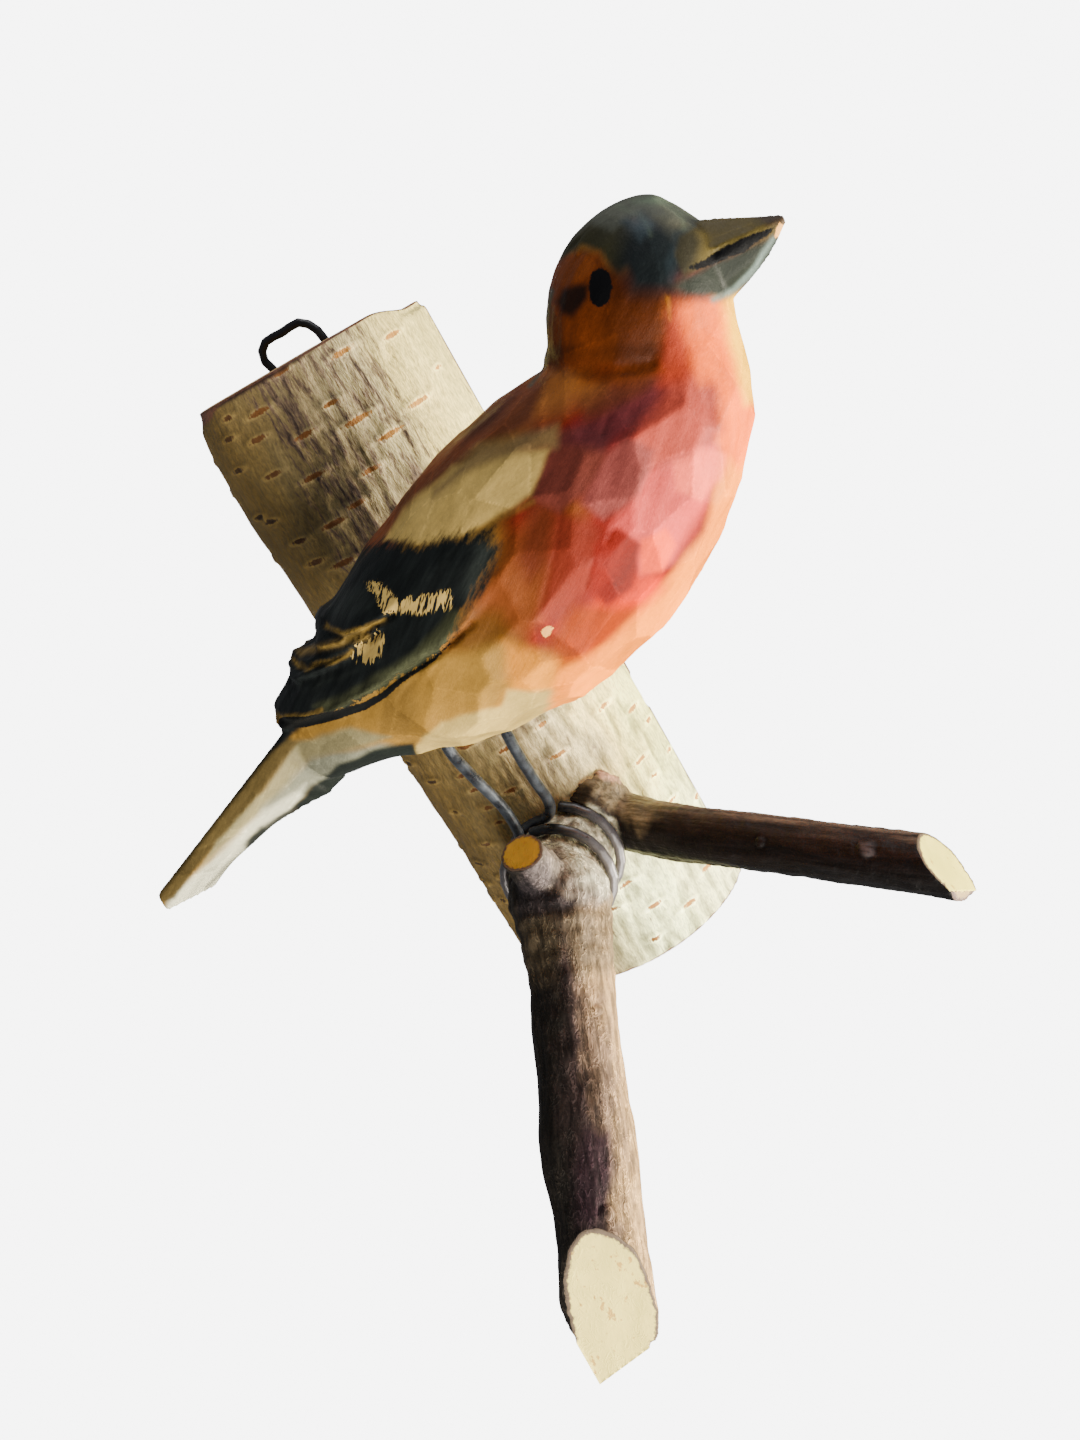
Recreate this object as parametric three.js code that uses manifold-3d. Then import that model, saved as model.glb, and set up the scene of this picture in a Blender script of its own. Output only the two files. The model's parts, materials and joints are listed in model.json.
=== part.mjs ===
// Painted carved bird on wire legs, standing on a forked twig fixed to a half-round birch log
// that hangs on a wall by a small wire loop.
//
// Frame: +Z up along the log, the flat back of the log in the plane y = 0 with the wall at +Y,
// everything else on the -Y side, +X to the right of a viewer in front. Millimetres.
// The origin is the middle of the log's flat back.

import * as THREE from 'three';
import { mergeVertices } from 'three/addons/utils/BufferGeometryUtils.js';
import Module from 'manifold-3d';

const wasm = await Module();
wasm.setup();

// Driving dimensions
const GAP = 0.3;
const LOG = { halfWidth: 19.5, depth: 19.3, length: 105, arcSteps: 16, lengthSteps: 12, wave: 0.012 };
const LOG_SHOULDER = { narrowing: 0.06, start: 43, length: 9.5 };
const LOG_KNOT = { angle: 190, height: 33, reach: 7, rise: 0.9 };
const LEG_WIRE = { radius: 0.8, sides: 8 };
const WIRE_STEPS = 1.8;
const HANGER = {
  radius: 0.55,
  left: -5.3,
  right: 4.3,
  back: -3.6,
  rise: 3.8,
  depth: 4.5,
  bend: 1.6,
  lean: 0.5,
};

// The neck of the twig, which stands out from the log and carries the two wire turns
const NECK = { x: 3.45, z: -29.7, radius: 7.0, root: -14, front: -31 };
const NODE = { x: 5.4, y: -33, z: -29.5, width: 7.6, depth: 7.2, height: 7.4 };
const KNOB = { x: 7.7, y: -13.6, z: -26.3, width: 7.2, depth: 5.9, height: 7.5 };
const KNOB_CHIP = { x: 11.8, y: -15.8, z: -19.9, size: 1.7 };

const BARK_RIPPLE = { broad: 0.03, narrow: 0.02 };
const FRONT_TWIG = {
  from: new THREE.Vector3(5.5, -33, -29.6),
  toward: new THREE.Vector3(-0.133, -0.631, -0.764).normalize(),
  length: 74,
  radius: 6.05,
  flare: 1.3,
  flareLength: 9,
  swelling: { rise: 0.35, at: 35, reach: 5 },
};
const RIGHT_TWIG = {
  root: new THREE.Vector3(9.0, -12.6, -28.8),
  from: new THREE.Vector3(17.6, -17.6, -31.7),
  to: new THREE.Vector3(60, -33.6, -45.3),
  radius: 4.15,
  flare: 0.5,
  flareLength: 8,
};
const STUB = {
  from: new THREE.Vector3(5.5, -33, -29.5),
  to: new THREE.Vector3(6.2, -37.4, -16.6),
  radius: 3.15,
  flare: 1.6,
  flareEnd: 0.75,
  face: new THREE.Vector3(5.95, -36.6, -18.7),
  normal: new THREE.Vector3(0.19, -0.41, 0.89).normalize(),
};

// Knife cuts at the twig ends
const FRONT_CUT = {
  top: new THREE.Vector3(3.2, -65.2, -61.0),
  tip: new THREE.Vector3(-8.0, -70.7, -80.8),
  normal: new THREE.Vector3(0.224, -0.965, 0.141),
  leftAngle: 30,
  rightAngle: 44,
};
const RIGHT_CUT = {
  at: new THREE.Vector3(56.2, -32, -42.6),
  normal: new THREE.Vector3(0.9, -0.12, 0.4).normalize(),
  facetAt: new THREE.Vector3(56.9, -34.6, -49.6),
  facetNormal: new THREE.Vector3(0.74, -0.62, -0.26).normalize(),
};

// The wire turns round the neck: angle of arrival, and the y of the turn's two ends
const TURN = { radius: 8.15, steps: 15, sweep: 350 };
const NEAR_LEG = {
  name: 'leg_wire_near',
  route: [[8.8, -42.6, 6.5], [7.4, -41.2, 1.0], [5.7, -36.5, -5.5], [4.2, -30.6, -15.2]],
  arrival: 104,
  front: -27.2,
  back: -25.2,
};
const FAR_LEG = {
  name: 'leg_wire_far',
  route: [[16.6, -40.2, 6.0], [13.6, -36.6, -1.6], [10.9, -31.4, -10.8], [8.5, -26.2, -17.9]],
  arrival: 82,
  front: -21.9,
  back: -18.9,
};

// The bird's own frame: x to the beak, z up, mirror plane y = 0, origin in the middle of its trunk.
// It leans back a little toward the wall.
const BIRD = { x: 20, y: -38, z: 18, lean: -7 };

// Round masses of the body in that frame: centre, pitch in degrees, and the three half-axes
const TRUNK = { x: 6.0, z: 0.4, pitch: 34.6, long: 24.3, wide: 15, deep: 14.5 };
const BREAST = { x: 21.6, z: 2.3, pitch: 35.3, long: 25.1, wide: 15, deep: 13.3 };
const HEAD = { x: 34.6, z: 20.5, pitch: -42.2, long: 10.4, wide: 10.8, deep: 12.5 };
const RUMP = { x: -17.3, z: -6.5, pitch: 8.4, long: 17.1, wide: 8.2, deep: 8.8 };
const WING_TIPS = { x: -20.5, z: -2.4, pitch: 22, long: 13.2, wide: 8.6, deep: 5.0 };
const BODY_BLEND = 8;
const NECK_BLEND = 3;
const SKIN = { axisPitch: 30, rings: 40, sides: 36, reach: 34 };
const WING_SKIN = { rings: 30, sides: 30 };
const HALVINGS = 26;

// Folded wing: three layers of feathers, each a step higher than the one below.
// Each outline is the layer's lower edge from the feather tip forward, in side view.
const WING_SINK = 0.5;
const WING_FADE = 4;
const WING_TOP = 34;
const WING_SIDE = { rear: -28, rearWidth: 8, front: 5, frontWidth: 15.5, slope: 0.75, lean: 0.15 };
const WING_LAYERS = [
  { rise: 1.3, start: 15, ramp: 24, edge: [[-31.4, -0.6], [-30.2, -3.6], [-27.6, -4.6], [-20.6, -5.4],
    [-12.9, -4.7], [-6.8, -3.8], [0.3, -3.1], [5.9, -1.2], [11.1, 0.6], [15.5, 3.6]] },
  { rise: 1.0, start: -3, ramp: 9, edge: [[-25.4, 2.6], [-24.2, 1.1], [-19.7, 0.8], [-14.4, 0.9],
    [-7.8, 1.8], [2, 3.6]] },
  { rise: 1.0, start: 0, ramp: 9, edge: [[-18.9, 5.6], [-17.4, 3.6], [-13.5, 2.4], [-10.3, 2.3],
    [-6.9, 2.8], [4, 4.8]] },
];
const WING_PARTING = { start: -13, end: -36, halfWidth: 2.6, floor: -1.5 };

const TAIL = {
  root: -23,
  tip: -60.2,
  topAt: -34.6,
  topHeight: -7.45,
  slope: 0.445,
  rootHalfWidth: 5.3,
  tipHalfWidth: 8.7,
  edge: 2.9,
  keel: 1.2,
  keelExtra: 3.0,
  keelFade: 9,
  deepestKeel: 7,
  corner: 0.5,
  taper: 0.4,
  notch: 2.4,
  steps: 12,
};
const BEAK = {
  root: 38,
  tip: 53.2,
  baseAt: 44,
  top: 26.6,
  bottom: 16.6,
  halfWidth: 4.6,
  tipHeight: 21.9,
  tipHalf: 0.45,
  gape: 22.1,
  steps: 10,
};

const degrees = THREE.MathUtils.degToRad;
const mix = THREE.MathUtils.lerp;
const smooth = (x) => THREE.MathUtils.smoothstep(x, 0, 1);

// Solids and booleans

function solid(geometry) {
  const bare = geometry.clone();
  bare.deleteAttribute('normal');
  bare.deleteAttribute('uv');
  const merged = mergeVertices(bare, 1e-4);
  const mesh = new wasm.Mesh({
    numProp: 3,
    vertProperties: new Float32Array(merged.attributes.position.array),
    triVerts: new Uint32Array(merged.index.array),
  });
  return new wasm.Manifold(mesh);
}

function geometryOf(body) {
  const mesh = body.getMesh();
  const geometry = new THREE.BufferGeometry();
  geometry.setAttribute('position', new THREE.BufferAttribute(mesh.vertProperties, 3));
  geometry.setIndex(new THREE.BufferAttribute(mesh.triVerts, 1));
  geometry.computeVertexNormals();
  return geometry;
}

// A closed cylinder whose every vertex is placed by a function of its turn round the axis,
// its place along the axis, and whether it is on the rim or in the middle of an end.
function swept(sides, steps, place) {
  const geometry = new THREE.CylinderGeometry(1, 1, 1, sides, steps);
  const position = geometry.attributes.position;
  for (let i = 0; i < position.count; i += 1) {
    const rim = Math.min(1, Math.hypot(position.getX(i), position.getZ(i)));
    const turn = Math.atan2(position.getX(i), position.getZ(i)) / (2 * Math.PI);
    const along = Math.round((position.getY(i) + 0.5) * steps) / steps;
    const point = place((turn + 1) % 1, along, rim > 0.5 ? 1 : 0);
    position.setXYZ(i, point.x, point.y, point.z);
  }
  return solid(geometry);
}

function wire(points, radius) {
  const path = new THREE.CatmullRomCurve3(points.map((p) => new THREE.Vector3(...p)), false, 'centripetal');
  const section = new THREE.Shape();
  section.absarc(0, 0, radius, 0, 2 * Math.PI);
  const steps = Math.round(points.length * WIRE_STEPS);
  const options = { steps, extrudePath: path, curveSegments: LEG_WIRE.sides / 2, bevelEnabled: false };
  return new THREE.ExtrudeGeometry(section, options);
}

// A block that fills the half space in front of a plane, for cutting
function halfSpace(point, normal, size = 90) {
  const box = new THREE.BoxGeometry(size, size, size);
  box.translate(0, 0, size / 2);
  const turn = new THREE.Quaternion().setFromUnitVectors(new THREE.Vector3(0, 0, 1), normal);
  box.applyQuaternion(turn);
  box.translate(point.x, point.y, point.z);
  return solid(box);
}

// A side-view outline in x and z, carried across the whole width of the bird. It draws in as it goes
// outward past the wing's side, so that the edge it cuts slopes like a knife cut.
function sidePrism(outline, halfWidth) {
  const shape = new THREE.Shape(outline.map(([x, z]) => new THREE.Vector2(x, z)));
  const prism = new THREE.ExtrudeGeometry(shape, { depth: 2 * halfWidth, steps: 2, bevelEnabled: false });
  prism.rotateX(Math.PI / 2);
  prism.translate(0, halfWidth, 0);
  const position = prism.attributes.position;
  for (let i = 0; i < position.count; i += 1) {
    const x = position.getX(i);
    const y = position.getY(i);
    const part = THREE.MathUtils.clamp((x - WING_SIDE.rear) / (WING_SIDE.front - WING_SIDE.rear), 0, 1);
    const beyond = Math.abs(y) - mix(WING_SIDE.rearWidth, WING_SIDE.frontWidth, part);
    position.setXYZ(i, x + WING_SIDE.lean * beyond, y, position.getZ(i) + WING_SIDE.slope * beyond);
  }
  return solid(prism);
}

// The birch log

function logGeometry(extra = 0) {
  const shape = new THREE.Shape();
  shape.absellipse(0, 0, LOG.halfWidth + extra, LOG.depth + extra, Math.PI, 2 * Math.PI, false);
  shape.closePath();
  const geometry = new THREE.ExtrudeGeometry(shape, {
    depth: LOG.length,
    steps: LOG.lengthSteps,
    curveSegments: LOG.arcSteps,
    bevelEnabled: false,
  });
  geometry.translate(0, 0, -LOG.length / 2);
  const position = geometry.attributes.position;
  for (let i = 0; i < position.count; i += 1) {
    const x = position.getX(i);
    const y = position.getY(i);
    const z = position.getZ(i);
    const angle = Math.atan2(y, x);
    const wave = LOG.wave * Math.sin(3 * angle + z * 0.07) * Math.cos(z * 0.045 + angle);
    const knotAngle = (degrees(LOG_KNOT.angle - 360) - angle) * LOG.halfWidth;
    const knotDistance = Math.hypot(knotAngle, z - LOG_KNOT.height) / LOG_KNOT.reach;
    const shoulder = smooth((z - LOG_SHOULDER.start) / LOG_SHOULDER.length) * smooth(-x / LOG.halfWidth);
    const knot = (LOG_KNOT.rise / LOG.halfWidth) * Math.exp(-knotDistance * knotDistance);
    const scale = 1 + wave + knot - LOG_SHOULDER.narrowing * shoulder;
    position.setXYZ(i, x * scale, y * scale, z);
  }
  return geometry;
}

// The hanger: a small staple whose two feet stand in holes in the log's top
function hangerPoints() {
  const top = LOG.length / 2;
  const foot = top - HANGER.depth;
  const crown = top + HANGER.rise;
  const shoulder = crown - HANGER.bend;
  const middle = (HANGER.left + HANGER.right) / 2;
  const y = HANGER.back;
  return [
    [HANGER.left + HANGER.lean, y, foot],
    [HANGER.left + HANGER.lean, y, top],
    [HANGER.left, y, shoulder],
    [HANGER.left + HANGER.bend, y, crown],
    [middle, y, crown],
    [HANGER.right - HANGER.bend, y, crown],
    [HANGER.right, y, shoulder],
    [HANGER.right + HANGER.lean, y, top],
    [HANGER.right + HANGER.lean, y, foot],
  ];
}

function birchPlaque() {
  const sunk = hangerPoints().map(([x, y, z]) => [x, y, z - GAP]);
  return geometryOf(solid(logGeometry()).subtract(solid(wire(sunk, HANGER.radius + GAP))));
}

// The forked twig

// A limb of natural wood: round, flared where it grows from its parent, with long low waves in the bark
function limb(points, radiusAt, sides, steps, seed) {
  const path = new THREE.CatmullRomCurve3(points, false, 'centripetal');
  const frames = path.computeFrenetFrames(steps, false);
  return swept(sides, steps, (turn, along, rim) => {
    const i = Math.round(along * steps);
    const angle = 2 * Math.PI * turn;
    const broad = BARK_RIPPLE.broad * Math.sin(3 * angle + 5 * along + seed);
    const narrow = BARK_RIPPLE.narrow * Math.sin(5 * angle - 17 * along + seed);
    const radius = rim * radiusAt(along) * (1 + broad + narrow);
    const point = path.getPointAt(along);
    point.addScaledVector(frames.binormals[i], radius * Math.sin(angle));
    point.addScaledVector(frames.normals[i], radius * Math.cos(angle));
    return point;
  });
}

function lump(part) {
  const ball = new THREE.SphereGeometry(1, 16, 10);
  ball.scale(part.width, part.depth, part.height);
  ball.translate(part.x, part.y, part.z);
  return solid(ball);
}

function frontTwig() {
  const end = FRONT_TWIG.from.clone().addScaledVector(FRONT_TWIG.toward, FRONT_TWIG.length);
  const middle = FRONT_TWIG.from.clone().lerp(end, 0.5);
  const radiusAt = (along) => {
    const distance = along * FRONT_TWIG.length;
    const flare = FRONT_TWIG.flare * Math.exp(-distance / FRONT_TWIG.flareLength);
    const { rise, at, reach } = FRONT_TWIG.swelling;
    return FRONT_TWIG.radius + flare + rise * Math.exp(-(((distance - at) / reach) ** 2));
  };
  return limb([FRONT_TWIG.from, middle, end], radiusAt, 16, 16, 1.3);
}

function frontCuts(twig) {
  const down = FRONT_CUT.tip.clone().sub(FRONT_CUT.top).normalize();
  const normal = FRONT_CUT.normal.clone().addScaledVector(down, -FRONT_CUT.normal.dot(down)).normalize();
  const side = new THREE.Vector3().crossVectors(down, normal).normalize();
  const trim = (angle, sign) => {
    const edge = down.clone().multiplyScalar(-Math.cos(degrees(angle)));
    edge.addScaledVector(side, sign * Math.sin(degrees(angle)));
    const outward = new THREE.Vector3().crossVectors(edge, FRONT_TWIG.toward).normalize();
    return outward.dot(down) < 0 ? outward.negate() : outward;
  };
  return twig
    .subtract(halfSpace(FRONT_CUT.top, normal))
    .subtract(halfSpace(FRONT_CUT.tip, trim(FRONT_CUT.leftAngle, 1)))
    .subtract(halfSpace(FRONT_CUT.tip, trim(FRONT_CUT.rightAngle, -1)));
}

function rightTwig() {
  const span = RIGHT_TWIG.root.distanceTo(RIGHT_TWIG.to);
  const radiusAt = (along) => {
    const flare = RIGHT_TWIG.flare * Math.exp(-(along * span) / RIGHT_TWIG.flareLength);
    return RIGHT_TWIG.radius + flare;
  };
  const middle = RIGHT_TWIG.from.clone().lerp(RIGHT_TWIG.to, 0.5);
  const twig = limb([RIGHT_TWIG.root, RIGHT_TWIG.from, middle, RIGHT_TWIG.to], radiusAt, 14, 12, 4.1);
  return twig
    .subtract(halfSpace(RIGHT_CUT.at, RIGHT_CUT.normal))
    .subtract(halfSpace(RIGHT_CUT.facetAt, RIGHT_CUT.facetNormal));
}

function forkedTwig(legs) {
  const neckRoot = new THREE.Vector3(NECK.x, NECK.root, NECK.z);
  const neckFront = new THREE.Vector3(NECK.x, NECK.front, NECK.z);
  const neckMiddle = neckRoot.clone().lerp(neckFront, 0.5);
  const neck = limb([neckRoot, neckMiddle, neckFront], () => NECK.radius, 18, 3, 0.4);
  const stubMiddle = STUB.from.clone().lerp(STUB.to, 0.5);
  const stubRadius = (along) => STUB.radius + STUB.flare * (1 - smooth(along / STUB.flareEnd));
  const stub = limb([STUB.from, stubMiddle, STUB.to], stubRadius, 12, 4, 2.2)
    .subtract(halfSpace(STUB.face, STUB.normal));
  const chip = { ...KNOB_CHIP, width: KNOB_CHIP.size, depth: KNOB_CHIP.size, height: KNOB_CHIP.size };
  let twig = neck.add(lump(NODE)).add(lump(KNOB)).add(stub).add(frontCuts(frontTwig())).add(rightTwig());
  twig = twig.subtract(lump(chip)).subtract(solid(logGeometry(GAP)));
  for (const leg of legs) {
    twig = twig.subtract(solid(wire(legPoints(leg), LEG_WIRE.radius + GAP)));
  }
  return geometryOf(twig);
}

// The wire legs: down from the belly, then one turn round the neck

function legPoints(leg) {
  const points = leg.route.map((p) => [...p]);
  for (let i = 0; i <= TURN.steps; i += 1) {
    const part = i / TURN.steps;
    const angle = degrees(leg.arrival + part * TURN.sweep);
    points.push([
      NECK.x + TURN.radius * Math.cos(angle),
      mix(leg.front, leg.back, part),
      NECK.z + TURN.radius * Math.sin(angle),
    ]);
  }
  return points;
}

// The carved bird

// Signed distance, near the surface, from a point to one of the round masses
function massDistance(mass, point) {
  const pitch = degrees(mass.pitch);
  const dx = point.x - mass.x;
  const dz = point.z - mass.z;
  const along = dx * Math.cos(pitch) + dz * Math.sin(pitch);
  const above = -dx * Math.sin(pitch) + dz * Math.cos(pitch);
  const near = Math.hypot(along / mass.long, point.y / mass.wide, above / mass.deep);
  const slope = Math.hypot(along / mass.long ** 2, point.y / mass.wide ** 2, above / mass.deep ** 2);
  return (near * (near - 1)) / (slope + 1e-9);
}

function blend(a, b, reach) {
  const h = THREE.MathUtils.clamp(0.5 + (0.5 * (b - a)) / reach, 0, 1);
  return mix(b, a, h) - reach * h * (1 - h);
}

function bodyDistance(point) {
  let distance = blend(massDistance(TRUNK, point), massDistance(BREAST, point), BODY_BLEND);
  distance = blend(distance, massDistance(RUMP, point), BODY_BLEND);
  return blend(distance, massDistance(HEAD, point), NECK_BLEND);
}

// Middle line of the body, from the rump to the face
const MIDLINE = [RUMP, TRUNK, BREAST, { x: 33, z: 13 }, { x: 37, z: 18.5 }];
const AXIS = new THREE.Vector3(Math.cos(degrees(SKIN.axisPitch)), 0, Math.sin(degrees(SKIN.axisPitch)));
const RISE = new THREE.Vector3(-AXIS.z, 0, AXIS.x);
const SIDE = new THREE.Vector3(0, -1, 0);

function midlineAt(station) {
  const places = MIDLINE.map((m) => new THREE.Vector3(m.x, 0, m.z));
  const stations = places.map((p) => p.dot(AXIS));
  const heights = places.map((p) => p.dot(RISE));
  let height = heights[0];
  for (let i = 1; i < stations.length; i += 1) {
    const part = THREE.MathUtils.clamp((station - stations[i - 1]) / (stations[i] - stations[i - 1]), 0, 1);
    height = mix(height, heights[i], smooth(part));
  }
  return AXIS.clone().multiplyScalar(station).addScaledVector(RISE, height);
}

// Distance from a start inside the body, along a direction, to the skin that a test tells from outside
function reachTo(isInside, start, direction) {
  let inside = 0;
  let outside = SKIN.reach;
  const probe = new THREE.Vector3();
  for (let i = 0; i < HALVINGS; i += 1) {
    const middle = (inside + outside) / 2;
    probe.copy(start).addScaledVector(direction, middle);
    if (isInside(probe)) {
      inside = middle;
    } else {
      outside = middle;
    }
  }
  return inside;
}

// The station where the midline leaves the skin, looking forward or back from the trunk
function skinEnd(isInside, sign) {
  let inside = 0;
  let outside = sign * 2 * SKIN.reach;
  for (let i = 0; i < HALVINGS; i += 1) {
    const middle = (inside + outside) / 2;
    if (isInside(midlineAt(middle))) {
      inside = middle;
    } else {
      outside = middle;
    }
  }
  return inside;
}

// One closed surface round the midline
function skin(isInside, rings, sides) {
  const face = skinEnd(isInside, 1);
  const rear = skinEnd(isInside, -1);
  const geometry = new THREE.SphereGeometry(1, sides, rings);
  const position = geometry.attributes.position;
  for (let i = 0; i < position.count; i += 1) {
    const station = mix(face, rear, (1 - position.getY(i)) / 2);
    const centre = midlineAt(station);
    const across = new THREE.Vector3();
    across.addScaledVector(SIDE, position.getX(i)).addScaledVector(RISE, position.getZ(i));
    if (across.length() > 1e-6) {
      across.normalize();
      centre.addScaledVector(across, reachTo(isInside, centre, across));
    }
    position.setXYZ(i, centre.x, centre.y, centre.z);
  }
  return solid(geometry);
}

// Both folded wings: each layer is the skin raised a step, cut off along the layer's edge
function foldedWings() {
  let wings = null;
  for (const layer of WING_LAYERS) {
    const steps = WING_LAYERS.slice(0, WING_LAYERS.indexOf(layer) + 1);
    const isInside = (point) => {
      const rises = steps.map((step) => step.rise * smooth((step.start - point.x) / step.ramp));
      const sunk = -WING_SINK * (1 - smooth((WING_LAYERS[0].start - point.x) / WING_FADE));
      const offset = rises.reduce((sum, rise) => sum + rise, sunk);
      const tips = massDistance(WING_TIPS, point) + WING_LAYERS[0].rise;
      return Math.min(bodyDistance(point), tips) < offset;
    };
    const [tip] = layer.edge;
    const [front] = layer.edge.slice(-1);
    const outline = [[tip[0], WING_TOP], ...layer.edge, [front[0], WING_TOP]];
    const raisedSkin = skin(isInside, WING_SKIN.rings, WING_SKIN.sides);
    const feathers = raisedSkin.intersect(sidePrism(outline, SKIN.reach));
    wings = wings ? wings.add(feathers) : feathers;
  }
  return wings.subtract(wingParting());
}

// The narrow notch that opens between the two wing tips, over the rump
function wingParting() {
  const shape = new THREE.Shape();
  shape.moveTo(WING_PARTING.start, 0);
  shape.lineTo(WING_PARTING.end, WING_PARTING.halfWidth);
  shape.lineTo(WING_PARTING.end, -WING_PARTING.halfWidth);
  const notch = new THREE.ExtrudeGeometry(shape, { depth: WING_TOP, bevelEnabled: false });
  notch.translate(0, 0, WING_PARTING.floor);
  return solid(notch);
}

// A point of a mirrored section, given as a list of half of its corners from the top to the bottom
function sectionPoint(half, turn) {
  const last = half.length - 1;
  const index = Math.round(turn * 2 * last);
  const mirrored = index > last;
  const [aside, above] = half[mirrored ? 2 * last - index : index];
  return [mirrored ? -aside : aside, above];
}

// The tail: flat above, straight sides, a low keel below, and a shallow notch in its end
function tail() {
  const length = TAIL.root - TAIL.tip;
  const half = (x) => {
    const part = (TAIL.root - x) / length;
    const width = mix(TAIL.rootHalfWidth, TAIL.tipHalfWidth, part);
    const inner = width - TAIL.corner;
    const extra = TAIL.keelExtra * Math.exp((x - TAIL.topAt) / TAIL.keelFade);
    const keel = Math.min(TAIL.deepestKeel, TAIL.keel + extra);
    return [[0, 0], [inner, 0], [width, -TAIL.corner], [width, TAIL.taper - TAIL.edge], [inner, -TAIL.edge],
      [0.45 * width, -TAIL.edge - 0.55 * keel], [0, -TAIL.edge - keel]];
  };
  const sides = 2 * (half(0).length - 1);
  return swept(sides, TAIL.steps, (turn, along, rim) => {
    const straight = TAIL.root - along * length;
    const [aside, above] = sectionPoint(half(straight), turn);
    const inward = 1 - Math.abs(aside * rim) / TAIL.tipHalfWidth;
    const x = straight + along ** 3 * TAIL.notch * inward;
    const top = TAIL.topHeight + TAIL.slope * (straight - TAIL.topAt);
    return new THREE.Vector3(x, rim * aside, top + (rim ? above : -TAIL.edge / 2));
  });
}

// The beak: a ridge on top, a groove along the gape on each side, and a rounded chin below
function beak() {
  const corners = [[0, 1], [0.6, 0.55], [1, 0.1], [0.86, 0], [0.98, -0.1], [0.7, -0.65], [0, -1]];
  const sides = 2 * (corners.length - 1);
  return swept(sides, BEAK.steps, (turn, along, rim) => {
    const x = mix(BEAK.root, BEAK.tip, along);
    const part = Math.max(0, (x - BEAK.baseAt) / (BEAK.tip - BEAK.baseAt));
    const top = mix(BEAK.top, BEAK.tipHeight + BEAK.tipHalf, part);
    const bottom = mix(BEAK.bottom, BEAK.tipHeight - BEAK.tipHalf, 0.6 * part + 0.4 * part ** 3);
    const width = mix(BEAK.halfWidth, BEAK.tipHalf, 0.85 * part + 0.15 * part ** 2);
    const gape = mix(BEAK.gape, BEAK.tipHeight, part);
    const [aside, above] = sectionPoint(corners, turn);
    const rise = above > 0 ? above * (top - gape) : above * (gape - bottom);
    return new THREE.Vector3(x, -rim * aside * width, gape + rim * rise);
  });
}

function carvedBird(legs, placing) {
  const trunk = skin((point) => bodyDistance(point) < 0, SKIN.rings, SKIN.sides);
  let bird = trunk.add(foldedWings()).add(tail()).add(beak());
  const back = placing.clone().invert();
  for (const leg of legs) {
    const [inner, next] = leg.route.map((p) => new THREE.Vector3(...p));
    const beyond = inner.clone().add(inner.clone().sub(next).setLength(2 * GAP));
    const bore = wire([beyond.toArray(), ...leg.route], LEG_WIRE.radius + GAP);
    bore.applyMatrix4(back);
    bird = bird.subtract(solid(bore));
  }
  return geometryOf(bird);
}

// The assembly

const material = (color, roughness, metalness = 0) => (
  new THREE.MeshStandardMaterial({ color, roughness, metalness })
);
const BARK_PALE = material(0xd8d0bd, 0.85);
const BARK_DARK = material(0x5b4238, 0.7);
const PAINTED_WOOD = material(0xb9683f, 0.5);
const DARK_STEEL = material(0x3a4049, 0.45, 0.85);

const group = new THREE.Group();

function place(name, geometry, finish) {
  const mesh = new THREE.Mesh(geometry, finish);
  mesh.name = name;
  group.add(mesh);
  return mesh;
}

const LEGS = [NEAR_LEG, FAR_LEG];

place('birch_plaque', birchPlaque(), BARK_PALE);
place('forked_twig', forkedTwig(LEGS), BARK_DARK);
place('hanger_wire', wire(hangerPoints(), HANGER.radius), DARK_STEEL);
for (const leg of LEGS) {
  place(leg.name, wire(legPoints(leg), LEG_WIRE.radius), DARK_STEEL);
}

const placing = new THREE.Object3D();
placing.position.set(BIRD.x, BIRD.y, BIRD.z);
placing.rotation.x = degrees(BIRD.lean);
placing.updateMatrix();
const bird = place('carved_bird', carvedBird(LEGS, placing.matrix), PAINTED_WOOD);
bird.position.copy(placing.position);
bird.rotation.copy(placing.rotation);

export default group;
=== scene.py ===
"""Looks of a painted carved songbird on wire legs, perched on a forked twig on a birch log plaque.

Every length is in millimetres until a mesh is written, and the frame's unit is the metre. Places that
were read off the photograph are pixels of its 1080 by 1440 frame.
"""

import json
import logging
import math
from dataclasses import dataclass, field
from enum import Enum

import bmesh
import bpy
import numpy as np
from mathutils import Matrix, Vector, kdtree, noise

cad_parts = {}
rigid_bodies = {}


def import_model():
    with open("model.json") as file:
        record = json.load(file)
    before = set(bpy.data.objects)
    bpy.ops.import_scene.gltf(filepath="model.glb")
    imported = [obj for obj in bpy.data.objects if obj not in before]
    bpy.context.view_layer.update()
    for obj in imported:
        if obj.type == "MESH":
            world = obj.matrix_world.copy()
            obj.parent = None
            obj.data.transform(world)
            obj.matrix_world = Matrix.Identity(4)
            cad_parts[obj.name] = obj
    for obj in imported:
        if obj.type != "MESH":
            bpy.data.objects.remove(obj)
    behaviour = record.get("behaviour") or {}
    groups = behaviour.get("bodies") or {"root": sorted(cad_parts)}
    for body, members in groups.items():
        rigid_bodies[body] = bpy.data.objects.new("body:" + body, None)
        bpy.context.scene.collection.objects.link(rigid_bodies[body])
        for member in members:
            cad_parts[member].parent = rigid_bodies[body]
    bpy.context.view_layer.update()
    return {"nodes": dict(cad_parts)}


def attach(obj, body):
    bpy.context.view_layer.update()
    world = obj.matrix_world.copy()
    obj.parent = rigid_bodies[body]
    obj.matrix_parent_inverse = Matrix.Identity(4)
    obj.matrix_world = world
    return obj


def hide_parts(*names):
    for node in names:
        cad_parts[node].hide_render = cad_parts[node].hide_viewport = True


LOG = logging.getLogger("carved_bird")
MM = 0.001
Line = tuple[tuple[float, float], ...]


# Small sums shared by every piece


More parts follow.
